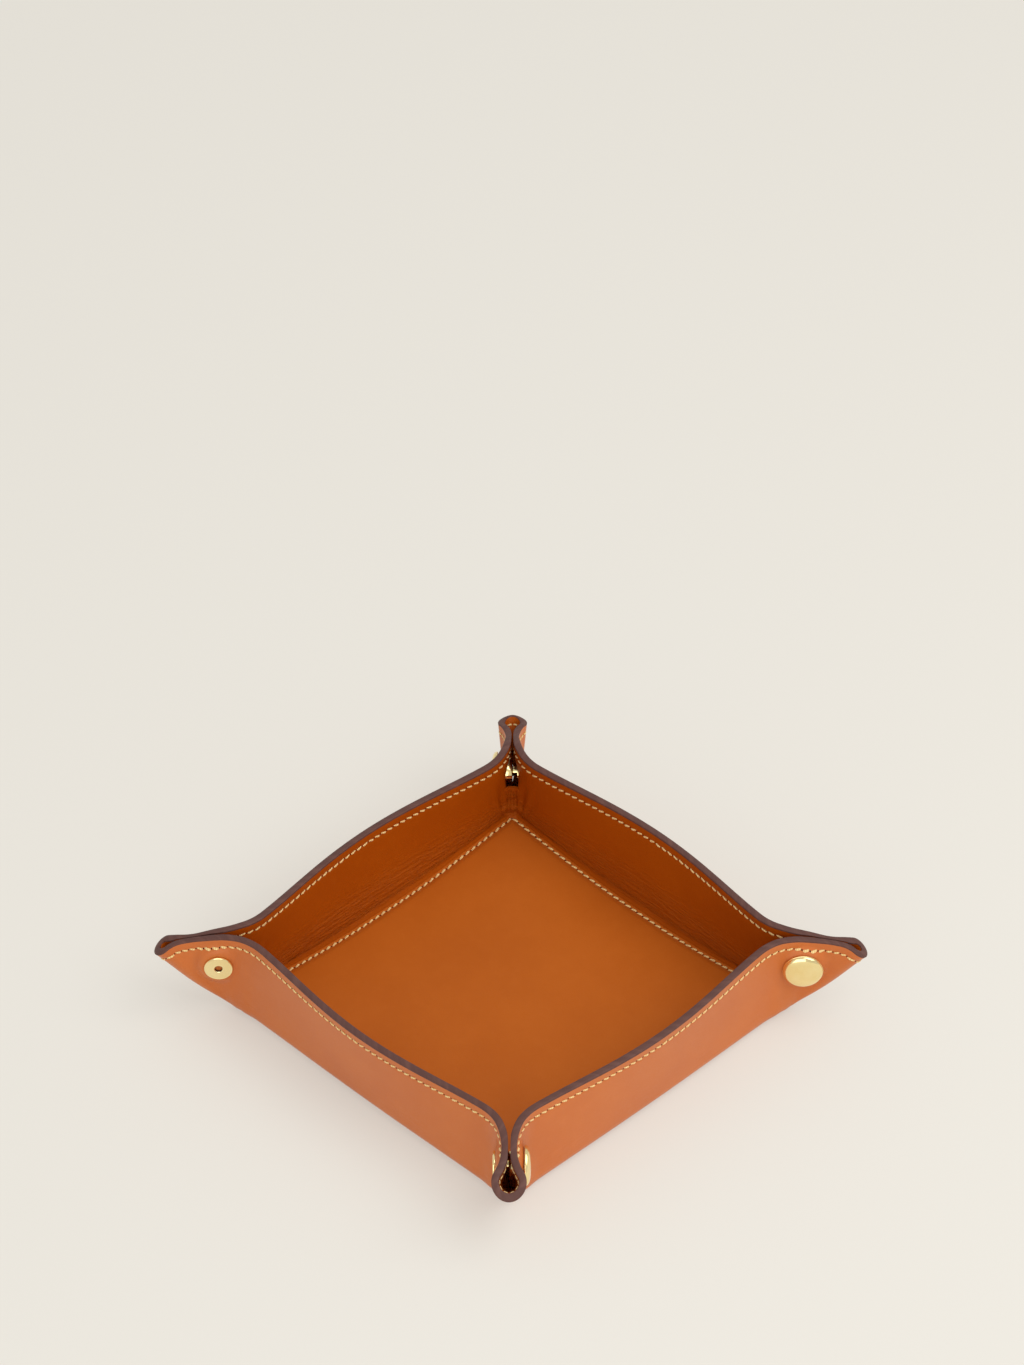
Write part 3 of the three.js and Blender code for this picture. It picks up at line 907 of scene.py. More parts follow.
class Shape:
    """A mesh in the making: points in millimetres, faces, flat places and finishes."""

    def __init__(self) -> None:
        """Starts with nothing."""
        self.points: list[np.ndarray] = []
        self.flats: list[np.ndarray] = []
        self.weights: list[np.ndarray] = []
        self.faces: Faces = []
        self.finish: list[int] = []
        self.count = 0

    def add(
        self,
        points: np.ndarray,
        faces: Sequence[tuple[int, ...]],
        flats: np.ndarray,
        finish: int = 0,
        weights: Optional[np.ndarray] = None,
    ) -> None:
        """Adds a closed body.

        Args:
            points: its points, one row each.
            faces: its faces, by the numbers of its own points.
            flats: the flat place of each point.
            finish: the number of its material.
            weights: how far each point follows the second body of a blend.
        """
        self.points.append(points.reshape(-1, 3))
        self.flats.append(flats.reshape(-1, 2))
        self.weights.append(np.zeros(len(self.points[-1])) if weights is None else weights.reshape(-1))
        self.faces.extend(tuple(number + self.count for number in face) for face in faces)
        self.finish.extend([finish] * len(faces))
        self.count += len(self.points[-1])

    def object(self, name: str, materials: Sequence[bpy.types.Material], crease: float = 40.0) -> bpy.types.Object:
        """Makes the mesh and its object.

        Args:
            name: the piece's name.
            materials: its materials in the order of their numbers.
            crease: edges sharper than this many degrees stay crisp.

        Returns:
            The object, linked to the scene.
        """
        mesh = bpy.data.meshes.new(name)
        mesh.from_pydata((np.concatenate(self.points) * MM).tolist(), [], self.faces)
        for material in materials:
            mesh.materials.append(material)
        mesh.polygons.foreach_set("material_index", self.finish)
        corners = np.zeros(len(mesh.loops), int)
        mesh.loops.foreach_get("vertex_index", corners)
        layer = mesh.uv_layers.new(name=FLAT_MAP)
        layer.data.foreach_set("uv", np.concatenate(self.flats)[corners].astype(np.float32).ravel())
        mesh.polygons.foreach_set("use_smooth", [True] * len(mesh.polygons))
        mesh.set_sharp_from_angle(angle=math.radians(crease))
        mesh.validate()
        mesh.update()
        made = bpy.data.objects.new(name, mesh)
        bpy.context.scene.collection.objects.link(made)
        return made

    def set_weights(self, made: bpy.types.Object) -> None:
        """Writes the points' own blend weights over those that a straight blend gave."""
        values = np.concatenate(self.weights).astype(np.float32)
        made.data.attributes[BLEND_WEIGHT].data.foreach_set("value", values)


def mount(piece: bpy.types.Object, slot: Slot, *nodes: str) -> None:
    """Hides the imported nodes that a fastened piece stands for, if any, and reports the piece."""
    if nodes:
        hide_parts(*nodes)
    LOG.info("%s made of %d points", piece.name, len(piece.data.vertices))


def slab_faces(rows: int, columns: int) -> Faces:
    """The faces of a closed slab between two grids, the lower grid's points first.

    Args:
        rows: the number of rows of each grid.
        columns: the number of columns of each grid.

    Returns:
        The faces, facing outwards when rows run along u and columns along v.
    """
    size = rows * columns
    faces: Faces = []
    for row in range(rows - 1):
        for column in range(columns - 1):
            a = row * columns + column
            b, c, d = a + columns, a + columns + 1, a + 1
            faces.append((a, d, c, b))
            faces.append((a + size, b + size, c + size, d + size))
    border = list(range(columns))
    border += [row * columns + columns - 1 for row in range(1, rows)]
    border += [(rows - 1) * columns + column for column in range(columns - 2, -1, -1)]
    border += [row * columns for row in range(rows - 2, 0, -1)]
    for here, there in zip(border, border[1:] + border[:1]):
        faces.append((here, here + size, there + size, there))
    return faces


def flat_map(u: Grid, v: Grid, side: Side) -> np.ndarray:
    """The map places of flat places on one side, each side in a square of its own."""
    return np.stack([v / SHEET.side + 0.5 + 2.0 * side.value, u / SHEET.side + 0.5], -1)


@dataclass(frozen=True)
class Layer:
    """One of the two leathers: the depths of its shown face and of its glued face."""

    face: Face
    shown: float = 1.2
    glued: float = 0.08
    bevel: float = 0.22
    bevel_width: float = 0.5

    def depths(self, gap: Grid) -> tuple[Grid, Grid]:
        """The lower and upper depth of the leather.

        Args:
            gap: the distance of each flat place from the cut edge.

        Returns:
            The depths of the lower and the upper grid.
        """
        rounding = self.bevel * (1 - np.clip(gap / self.bevel_width, 0, 1)) ** 2
        shown = (self.shown - rounding) * self.face.value
        glued = np.full_like(shown, self.glued * self.face.value)
        return (shown, glued) if self.face is Face.OUTER else (glued, shown)


@dataclass
class Panels:
    """The flat grids that the walls and ears are cut into."""

    wall_columns: int = 96
    crowding: float = 1.7
    wall_rows: int = 26
    ear_columns: int = 72
    ear_rows: int = 30
    foot_rows: int = 12
    stitch_rows: tuple[float, ...] = (-1.8, -1.2, -0.7, -0.35, 0.0, 0.35, 0.7, 1.2, 1.8)
    rim_rows: tuple[float, ...] = (0.6, 0.35, 0.15, 0.0)

    def heights(self, start: Grid, end: Grid, rows: int) -> np.ndarray:
        """Rows from a low line to the rim, closer at the stitches and at the cut edge.

        Args:
            start: the low end of each column.
            end: the rim of each column.
            rows: the number of even rows below the stitches.

        Returns:
            One row of places for each row.
        """
        stitch = [SHEET.stitch_inset + step for step in reversed(self.stitch_rows)]
        below = stitch[0]
        even = [start + (end - below - start) * part for part in np.linspace(0, 1, rows, endpoint=False)]
        return np.array(even + [end - inset for inset in stitch] + [end - inset for inset in self.rim_rows])

    def wall(self) -> tuple[Grid, Grid]:
        """The flat grid of a wall between its two creases."""
        low = np.full(self.wall_columns, SHEET.base_half)
        fold = low[None] + np.linspace(0, FOOT_HEIGHT, self.foot_rows)[:-1, None]
        u = np.vstack([fold, self.heights(low + FOOT_HEIGHT, np.full_like(low, SHEET.half), self.wall_rows)])
        even = np.linspace(-1, 1, self.wall_columns)
        share = np.sign(even) * (1 - (1 - np.abs(even)) ** self.crowding)
        end = SHEET.centre + (u - SHEET.centre) * math.tan(math.radians(SHEET.ear_start))
        return u, end * share[None]

    @cached_property
    def angles(self) -> np.ndarray:
        """The flat angles of an ear's columns, from its crease to the ridge."""
        return np.linspace(math.radians(SHEET.ear_start), QUARTER, self.ear_columns)

    @staticmethod
    def reach(height: Number, angle: np.ndarray) -> np.ndarray:
        """How far the corner's rays reach to a height above the base's edge."""
        return (SHEET.base_corner + height) / np.cos(np.minimum(angle, 0))

    def fan(self, reach: Grid, end: int) -> tuple[Grid, Grid]:
        """Flat places of the corner's rays, with columns in the order of v."""
        u = SHEET.centre + reach * np.cos(self.angles)[None]
        v = end * (SHEET.centre + reach * np.sin(self.angles)[None])
        return (u, v) if end > 0 else (u[:, ::-1], v[:, ::-1])

    def foot(self, end: int) -> tuple[Grid, Grid]:
        """The flat grid of the low corner strip that the wall's fold runs out into."""
        rows = np.linspace(0, FOOT_HEIGHT, self.foot_rows)[:, None]
        return self.fan(self.reach(rows, self.angles[None]), end)

    def ear(self, end: int) -> tuple[Grid, Grid]:
        """The flat grid of an ear half above its foot."""
        low = self.reach(FOOT_HEIGHT, self.angles)
        return self.fan(self.heights(low, SHEET.rim(self.angles), self.ear_rows), end)


def along(node: str, axis: np.ndarray) -> np.ndarray:
    """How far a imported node's points lie along an axis, in millimetres."""
    mesh = frame["nodes"][node].data
    flat = np.zeros(len(mesh.vertices) * 3)
    mesh.vertices.foreach_get("co", flat)
    return flat.reshape(-1, 3) @ axis / MM


@dataclass(frozen=True)
class StudSeat:
    """Where the press studs sit on the ears, and how the leather is pressed level round them."""

    flat_radius: float = 5.6
    soft_radius: float = 9.4
    cap_height: float = 2.3
    post_height: float = 0.9
    clearance: float = 0.1
    rises: tuple[float, ...] = (1.6, -1.2, 1.6, 0.8)

    @cached_property
    def middle(self) -> np.ndarray:
        """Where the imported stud's axis meets the corner's diagonal plane."""
        spans = [(axis, along("right_back_snap_cap", axis)) for axis in (DIAGONAL, UP)]
        return sum(axis * float(places.min() + places.max()) / 2 for axis, places in spans)

    def centre(self, corner: int) -> np.ndarray:
        """Where a corner's stud sits on its ear, by the corner's number."""
        return self.middle + UP * self.rises[corner]

    @cached_property
    def cap_level(self) -> float:
        """The distance of the cap's underside from the corner's diagonal plane."""
        return float(along("right_back_snap_cap", ACROSS).max()) - self.cap_height

    @cached_property
    def post_level(self) -> float:
        """The distance of the post's underside from the corner's diagonal plane."""
        return float(-along("right_back_snap_post", ACROSS).min()) - self.post_height

    def level(self, side: Side) -> float:
        """The level of the brass on a side's ears: caps on two sides, posts on the others."""
        return self.cap_level if side.value % 2 == 0 else self.post_level

    def pressed(self, points: np.ndarray, middle: np.ndarray, v: Grid, side: Side) -> np.ndarray:
        """Leather pressed level round the side's two studs.

        Args:
            points: points of the leather, before the side's quarter turns.
            middle: the points at the same flat places in the middle of the thickness.
            v: their flat places along the side.
            side: the side.

        Returns:
            The moved points.
        """
        sign = np.where(v < 0, -1.0, 1.0)
        normal = np.stack([np.full_like(v, HALF_ROOT), -HALF_ROOT * sign, np.zeros_like(v)], -1)
        after, before = (self.centre(side.corner(end)) for end in (1, -1))
        height = np.where(v < 0, before[2], after[2])
        centre = np.stack([np.full_like(v, after[0]), sign * after[1], height], -1)
        offset = middle - centre
        out = (offset * normal).sum(-1)
        radial = np.linalg.norm(offset - out[..., None] * normal, axis=-1)
        share = 1 - smooth(self.flat_radius, self.soft_radius, radial)
        lift = self.level(side) - self.clearance - SHEET.thickness / 2
        return points + ((lift - out) * share)[..., None] * normal


STUD_SEAT = StudSeat()


def standing(u: Grid, v: Grid, depth: Number, side: Side) -> np.ndarray:
    """Points of one side's leather before its quarter turns, each half by the sheet of its own corner."""
    after, before = (CORNERS[side.corner(end)].closed(u, v, depth) for end in (1, -1))
    return np.where((v < 0)[..., None], before, after)


def folded(u: Grid, v: Grid, depth: Number, side: Side) -> np.ndarray:
    """Points of one side's leather, pressed at its studs and turned to its place.

    Args:
        u: flat places outwards.
        v: flat places along the side.
        depth: distances from the middle of the thickness, towards the lining.
        side: the side.

    Returns:
        The points in millimetres.
    """
    u, v = (np.asarray(part, float) for part in np.broadcast_arrays(u, v))
    points, middle = standing(u, v, depth, side), standing(u, v, 0.0, side)
    return quarter_turn(STUD_SEAT.pressed(points, middle, v, side), side.value)


@dataclass(frozen=True)
class Unrolling:
    """How far each place of the leather follows its wall and its ear as the tray opens."""

    sheet: FoldedSheet = SHEET
    corner: int = 0
    crease_end: float = 10.0
    hold_radius: float = 6.6
    ease_height: float = 18.0
    ridge_start: float = 18.0
    still_start: float = 36.0
    ridge_gap: float = 0.05
    ridge_foot: float = 0.5
    samples: int = 40
    halvings: int = 30
    tries: int = 101

    @staticmethod
    def joint(name: str) -> tuple[np.ndarray, np.ndarray, float]:
        """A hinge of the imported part: a point on it, its direction and its full turn."""
        found = next(joint for joint in frame["joints"] if joint["name"] == name)
        turn = math.radians(found["range_deg"][1])
        return np.array(found["pos_m"]) / MM, unit(np.array(found["axis"], float)), turn

    def opened(self, points: np.ndarray, wall: Number, ear: Number) -> np.ndarray:
        """Where points at the first corner go when the tray opens.

        Args:
            points: the points as they stand.
            wall: how far they follow the wall.
            ear: how far they follow the ear.

        Returns:
            The points as they lie.
        """
        for name, share in (("right_wall_back_ear_fold", ear), ("right_wall_fold", wall)):
            place, axis, turn = self.joint(name)
            points = spin(points - place, axis, share * turn) + place
        return points

    @staticmethod
    def place(u: Grid, v: Grid) -> tuple[Grid, Grid]:
        """The flat angle in degrees and the height above the base's edge, of flat places."""
        angle, reach = SHEET.fan(u, v)
        turn = np.radians(angle)
        return angle, np.where(turn > SHEET.sweep.start, reach - Panels.reach(0.0, turn), u - SHEET.base_half)

    @cached_property
    def ridge_heights(self) -> np.ndarray:
        """Heights along the ridge."""
        return np.linspace(self.ridge_foot, float(SHEET.rim(QUARTER)) - SHEET.base_corner, self.samples)

    @cached_property
    def ridge_places(self) -> np.ndarray:
        """The flat places of those heights, which are the same along u and v."""
        return (self.ridge_heights + SHEET.base_corner) * HALF_ROOT + SHEET.centre

    @cached_property
    def ridge_shares(self) -> np.ndarray:
        """The shares of the ear's turn that keep the ridge on the diagonal plane."""
        points = self.sheet.leather(self.ridge_places, self.ridge_places, 0.0)
        low, high = np.zeros(self.samples), np.ones(self.samples)
        for _ in range(self.halvings):
            share = (low + high) / 2
            crossed = self.opened(points, 1.0, share) @ ACROSS < self.ridge_gap
            low, high = np.where(crossed, low, share), np.where(crossed, share, high)
        return (low + high) / 2

    def stud_gap(self, u: Grid, v: Grid) -> np.ndarray:
        """How far flat places of an ear lie from the stud's axis."""
        offset = self.sheet.leather(u, np.abs(v), 0.0) - STUD_SEAT.centre(self.corner)
        return np.linalg.norm(offset - (offset @ ACROSS)[..., None] * ACROSS, axis=-1)

    @cached_property
    def free_radius(self) -> float:
        """How far the ridge stays from the stud's axis."""
        return float(self.stud_gap(self.ridge_places, self.ridge_places).min())

    @cached_property
    def foot_line(self) -> tuple[np.ndarray, np.ndarray, np.ndarray]:
        """Flat angles along the top of a foot, and the shares of wall and ear at which the two meet there."""
        angle = np.linspace(SHEET.ear_start, 45.0, self.samples)
        turn = np.radians(angle)
        reach = Panels.reach(FOOT_HEIGHT, turn)
        u, v = SHEET.centre + reach * np.cos(turn), SHEET.centre + reach * np.sin(turn)
        points = self.sheet.closed(u, v, 0.0)
        ear = smooth(SHEET.ear_start, 45.0, angle)
        goal = self.opened(points, 1.0, ear)
        tries = np.linspace(0, 1, self.tries)
        gaps = [np.linalg.norm(self.opened(points, share, 0.0) - goal, axis=-1) for share in tries]
        wall = tries[np.argmin(gaps, axis=0)]
        return angle, wall * (1 - smooth(self.still_start, 45.0, angle)), ear

    def wall_share(self, u: Grid, v: Grid) -> Grid:
        """How far places of a wall and its feet follow the wall."""
        angle, height = self.place(u, v)
        line, wall, _ = self.foot_line
        return smooth(0.0, FOOT_HEIGHT, height) * np.interp(angle, line, wall)

    def ear_share(self, u: Grid, v: Grid) -> Grid:
        """How far places of an ear follow the ear."""
        angle, height = self.place(u, v)
        line, _, ear = self.foot_line
        free = smooth(self.hold_radius, self.free_radius, self.stud_gap(u, v))
        near = smooth(self.ridge_start, 45.0, angle) * free
        target = 1 + (np.interp(height, self.ridge_heights, self.ridge_shares) - 1) * near
        ease = smooth(FOOT_HEIGHT, self.ease_height, height)
        high = smooth(SHEET.ear_start, self.crease_end, angle) * target
        return high * ease + np.interp(angle, line, ear) * (1 - ease)


UNROLLING = tuple(Unrolling(sheet, corner) for corner, sheet in enumerate(CORNERS))


@dataclass
class Workshop:
    """What every sub-assembly shares: the finishes, the grids and the two leathers."""

    finishes: Finishes
    panels: Panels = field(default_factory=Panels)
    outer: Layer = Layer(Face.OUTER)
    lining: Layer = Layer(Face.LINING)

    def finish_of(self, layer: Layer) -> tuple[bpy.types.Material, Slot]:
        """The material and the slot of a leather."""
        if layer.face is Face.OUTER:
            return self.finishes.outer, Slot.OUTER
        return self.finishes.lining, Slot.LINING

    @staticmethod
    def add_panel(shape: Shape, layer: Layer, grid: tuple[Grid, Grid], side: Side, share: Callable) -> float:
        """Adds one leather panel to a shape.

        Args:
            shape: the shape that takes it.
            layer: the leather.
            grid: the flat grid of the panel.
            side: the side that it belongs to.
            share: gives the blend weight of flat places.

        Returns:
            The panel's flat area in square metres.
        """
        u, v = grid
        points = np.stack([folded(u, v, depth, side) for depth in layer.depths(SHEET.edge_gap(u, v))])
        flats = flat_map(u, v, side)
        weights = share(u, v)
        first = len(shape.finish)
        shape.add(points, slab_faces(*u.shape), np.stack([flats, flats]), weights=np.stack([weights, weights]))
        if layer.face is Face.OUTER:
            cells = (u.shape[0] - 1) * (u.shape[1] - 1)
            shape.finish[first + 1 : first + 2 * cells : 2] = [1] * cells
            shape.finish[first + 2 * cells :] = [1] * (len(shape.finish) - first - 2 * cells)
        forward = (u[1:, 1:] - u[:-1, :-1]) * (v[:-1, 1:] - v[1:, :-1])
        backward = (v[1:, 1:] - v[:-1, :-1]) * (u[:-1, 1:] - u[1:, :-1])
        return float(np.abs(forward - backward).sum() / 2 * MM * MM)


@dataclass(frozen=True)
class EdgeBead:
    """The painted bead that rounds the cut edge: offsets past the edge, and depths."""

    lip: float = -0.5
    lip_depth: float = 1.225
    root: float = -0.65
    root_depth: float = 0.5
    crown: float = 0.42
    shoulder: float = 1.26
    steps: int = 9

    def section(self) -> np.ndarray:
        """The bead's closed outline, as rows of offset and depth."""
        angles = np.linspace(-math.pi / 2, math.pi / 2, self.steps)
        dome = [(self.crown * math.cos(angle), self.shoulder * math.sin(angle)) for angle in angles]
        lips = [(self.lip, self.lip_depth), (self.root, self.root_depth)]
        return np.array(dome + lips + [(offset, -depth) for offset, depth in reversed(lips)])

    def add(self, shape: Shape, edge: tuple[Grid, Grid], out: tuple[Grid, Grid], side: Side,
            share: Callable) -> None:
        """Adds the bead along a cut edge.

        Args:
            shape: the shape that takes it.
            edge: the flat places of the edge.
            out: the flat direction across the edge at each place.
            side: the side that it belongs to.
            share: gives the blend weight of flat places.
        """
        section = self.section()
        u = edge[0][:, None] + out[0][:, None] * section[None, :, 0]
        v = edge[1][:, None] + out[1][:, None] * section[None, :, 0]
        depth = np.broadcast_to(section[None, :, 1], u.shape)
        points = folded(u, v, depth, side)
        flats = flat_map(u, v + depth, side)
        shape.add(points, tube_faces(*u.shape), flats, weights=share(u, v))


def tube_faces(rings: int, sides: int) -> Faces:
    """The faces of a closed tube of rings, with both of its ends filled."""
    faces: Faces = []
    for ring in range(rings - 1):
        for side in range(sides):
            a, b = ring * sides + side, ring * sides + (side + 1) % sides
            faces.append((a, b, b + sides, a + sides))
    last = (rings - 1) * sides
    faces.append(tuple(range(sides - 1, -1, -1)))
    faces.append(tuple(range(last, last + sides)))
    return faces


@dataclass(frozen=True)
class Stitching:
    """Slanted stitches of waxed thread, with the needle holes between them."""

    pitch: float = 2.92
    length: float = 2.4
    width: float = 0.74
    height: float = 0.5
    slant: float = 14.0
    sink: float = 0.1
    tip: float = 0.06
    end_dip: float = 0.25
    hole_radius: float = 0.36
    hole_narrowing: float = 0.8
    hole_lift: float = 0.05
    hole_depth: float = 0.1
    rings: int = 9
    sides: int = 8

    @cached_property
    def stitch(self) -> tuple[np.ndarray, Faces, np.ndarray]:
        """One stitch: rows of along, across and height, its faces and its map."""
        even = np.linspace(-1, 1, self.rings)
        place = np.sin(even * math.pi / 2)
        swell = np.sqrt(np.maximum(1 - place**4, 0.0)) * (1 - self.tip) + self.tip
        around = np.arange(self.sides) * 2 * math.pi / self.sides
        x = np.repeat(place * self.length / 2, self.sides)
        y = (swell[:, None] * np.cos(around)[None] * self.width / 2).ravel()
        z = (swell[:, None] * (np.sin(around)[None] * self.height / 2 + self.height / 2)).ravel()
        z = z - np.repeat(self.sink + self.end_dip * self.height * np.abs(place) ** 3, self.sides)
        turn = math.radians(self.slant)
        rows = np.stack([x * math.cos(turn) - y * math.sin(turn), x * math.sin(turn) + y * math.cos(turn), z], -1)
        flats = np.stack([np.repeat(even * 0.5 + 0.5, self.sides), np.tile(around / (2 * math.pi), self.rings)], -1)
        return rows, tube_faces(self.rings, self.sides), flats

    @cached_property
    def hole(self) -> tuple[np.ndarray, Faces, np.ndarray]:
        """One needle hole, as a low lens that carries the painted shade of the hole."""
        around = np.arange(self.sides) * 2 * math.pi / self.sides
        ring = np.stack([np.cos(around), np.sin(around) * self.hole_narrowing, np.zeros(self.sides)], -1)
        rows = np.vstack([ring * self.hole_radius, [[0, 0, self.hole_lift], [0, 0, -self.hole_depth]]])
        top, bottom = self.sides, self.sides + 1
        faces: Faces = []
        for here in range(self.sides):
            there = (here + 1) % self.sides
            faces += [(here, there, top), (there, here, bottom)]
        return rows, faces, rows[:, :2].copy()

    def add(self, shape: Shape, spots: Sequence[tuple[float, float, float, float]], place: Callable,
            mirror: float, share: Optional[Callable] = None) -> None:
        """Adds stitches and their holes.

        Args:
            shape: the shape that takes them.
            spots: the flat place and flat direction of each stitch's middle.
            place: gives points from flat places and heights above the leather.
            mirror: 1 or -1, the way that the stitches slant.
            share: gives the blend weight of flat places, where the piece bends.
        """
        for u, v, du, dv in spots:
            # Each stitch is followed by a needle-hole lens in the second finish, which is painted shade.
            for body, shift, finish in ((self.stitch, 0.0, 0), (self.hole, self.pitch / 2, 1)):
                rows, faces, flats = body
                x, y = rows[:, 0] + shift, rows[:, 1] * mirror
                uu, vv = u + du * x - dv * y, v + dv * x + du * y
                weights = None if share is None else share(uu, vv)
                shape.add(place(uu, vv, rows[:, 2]), faces, flats, finish, weights)

    def rim_spots(self, on_ear: bool, end: int) -> list[tuple[float, float, float, float]]:
        """Stitches along the rim from the wall's middle to the ridge.

        Args:
            on_ear: whether the ear's stitches are wanted, or the wall's.
            end: the end of the wall, 1 or -1.

        Returns:
            The flat places and directions of the stitches.
        """
        straight = SHEET.half - SHEET.corner_radius
        radius = SHEET.corner_radius - SHEET.stitch_inset
        total = straight + radius * QUARTER
        count = round(total / self.pitch)
        spots = []
        for number in range(count):
            run = (number + 0.5) * total / count
            if run < straight:
                u, v, du, dv = SHEET.half - SHEET.stitch_inset, run, 0.0, 1.0
            else:
                turn = (run - straight) / radius
                u, v = straight + radius * math.cos(turn), straight + radius * math.sin(turn)
                du, dv = -math.sin(turn), math.cos(turn)
            angle = math.degrees(math.atan2(v - SHEET.centre, u - SHEET.centre))
            if (angle > SHEET.ear_start) == on_ear:
                spots.append((u, end * v, end * du, dv))
        return spots

    def sew_rim(self, shape: Shape, side: Side, end: int, share: Optional[Callable] = None) -> None:
        """Adds the rim's stitches on both faces of the leather.

        Args:
            shape: the shape that takes them.
            side: the side that they belong to.
            end: the end of the wall, 1 or -1.
            share: gives the blend weights of an ear, where the ear's stitches are wanted.
        """
        for face in Face:

            def place(u: Grid, v: Grid, lift: Grid, sign: int = face.value) -> np.ndarray:
                """Points lifted from one face of the leather."""
                return folded(u, v, sign * (SHEET.thickness / 2 + lift), side)

            self.add(shape, self.rim_spots(share is not None, end), place, float(end * face.value), share)


@dataclass
class Base:
    """The square base: outer leather, board, lining and the seam."""

    shop: Workshop
    seam_inset: float = 1.2
    seam_dip: float = 0.24
    seam_width: float = 0.55
    floor_lift: float = 0.6
    floor_step: Span = (1.5, 3.8)
    lining_back: float = 1.28
    lining_step: Span = (1.5, 3.0)
    board_low: float = 1.16
    board_top: float = 1.86
    board_inset: float = 3.0
    board_clearance: float = 0.04
    outer_back: float = 1.12
    least_rounding: float = 0.35
    most_rounding: float = 0.9
    corner_steps: int = 6
    edge_steps: int = 40
    insets: tuple[float, ...] = (
        0.0, 0.3, 0.6, 0.8, 1.0, 1.2, 1.4, 1.6, 1.9, 2.3, 2.8, 3.4, 4.2, 6.0, 12.0, 20.0, 30.0, 42.0, 54.0, 62.0,
    )

    def outline(self, inset: float) -> np.ndarray:
        """The base's outline drawn in by an inset, as flat points."""
        half = SHEET.base_half - inset
        radius = min(max(SHEET.base_corner - inset, self.least_rounding), half * self.most_rounding)
        inner = half - radius
        points = []
        for quarter in range(4):
            corner = [(inner + radius * math.cos(a), inner + radius * math.sin(a))
                      for a in np.linspace(0, math.pi / 2, self.corner_steps + 1)]
            edge = [(inner - 2 * inner * part, half) for part in np.linspace(0, 1, self.edge_steps + 1)[1:-1]]
            turned = quarter_turn(np.array([(x, y, 0.0) for x, y in corner + edge]), quarter)
            points.append(turned[:, :2])
        return np.concatenate(points)

    def top(self, x: Grid, y: Grid) -> Grid:
        """The height of the lining over places of the base."""
        inset = SHEET.base_half - np.maximum(np.abs(x), np.abs(y))
        dip = self.seam_dip * np.exp(-(((inset - self.seam_inset) / self.seam_width) ** 2))
        level = SHEET.thickness + self.floor_lift * smooth(*self.floor_step, inset) - dip
        return level + SHEET.corner_lift(x, y)

    def back(self, x: Grid, y: Grid) -> Grid:
        """The height of the lining's underside, which steps up over the board."""
        inset = SHEET.base_half - np.maximum(np.abs(x), np.abs(y))
        rise = self.board_top + self.board_clearance - self.lining_back
        return self.lining_back + rise * smooth(*self.lining_step, inset)

    @staticmethod
    def level(height: float) -> Callable:
        """A face of the base at an even height."""
        return lambda x, y: np.full_like(x, height)

    def panel(self, low: Callable, high: Callable, margin: float = 0.0) -> Shape:
        """A panel of the base between two heights that change from place to place.

        Args:
            low: gives the height of the lower face over places of the base.
            high: gives the height of the upper face.
            margin: how far the panel stops short of the base's edge.

        Returns:
            The panel's shape.
        """
        rings = [self.outline(inset) for inset in (margin, *(inset for inset in self.insets if inset > margin))]
        count = len(rings[0])
        points = [
            np.column_stack([ring, level(ring[:, 0], ring[:, 1])])
            for level in (low, high) for ring in rings + [np.zeros((1, 2))]
        ]
        layer = len(rings) * count + 1
        inner = (len(rings) - 1) * count
        faces: Faces = []
        for here in range(count):
            there = (here + 1) % count
            for a, b in ((ring * count + here, ring * count + there) for ring in range(len(rings) - 1)):
                faces.append((b, a, a + count, b + count))
                faces.append((a + layer, b + layer, b + count + layer, a + count + layer))
            a, b = inner + here, inner + there
            faces += [(b, a, layer - 1), (a + layer, b + layer, 2 * layer - 1)]
            faces.append((here, there, there + layer, here + layer))
        rows = np.concatenate(points)
        shape = Shape()
        shape.add(rows, faces, rows[:, :2] / SHEET.side + 0.5)
        return shape

    def build(self) -> None:
        """Makes the base's pieces and fastens them to the base."""
        finishes, size = self.shop.finishes, 2 * SHEET.base_half * MM
        outer = self.panel(self.level(0.0), self.level(self.outer_back)).object("base_outer", [finishes.outer])
        floor = self.panel(self.back, self.top).object("base_floor", [finishes.floor])
        for piece, node, slot in ((outer, "base_outer_leather", Slot.OUTER), (floor, "base_lining", Slot.LINING)):
            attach(piece, "base")
            mount(piece, slot, node)
        self.seam()
        board = self.panel(self.level(self.board_low), self.level(self.board_top), self.board_inset)
        piece = board.object("base_stiffener", [finishes.board])
        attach(piece, "base")
        mount(piece, Slot.BOARD, "base_board")

    def seam(self) -> None:
        """Sews the square seam of the base."""
        stitching = Stitching()
        line = SHEET.base_half - self.seam_inset
        count = round(2 * line / stitching.pitch)
        shape = Shape()
        for side in Side:
            spots = [(line, -line + (number + 0.5) * 2 * line / count, 0.0, 1.0) for number in range(count)]

            def place(u: Grid, v: Grid, lift: Grid, turns: int = side.value) -> np.ndarray:
                """Points of the seam on one side, lifted from the lining."""
                return quarter_turn(np.stack([u, v, self.top(u, v) + lift], -1), turns)

            stitching.add(shape, spots, place, 1.0)
        thread = shape.object("base_seam", [self.shop.finishes.thread, self.shop.finishes.hole])
        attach(thread, "base")
        mount(thread, Slot.THREAD, "base_seam_thread")


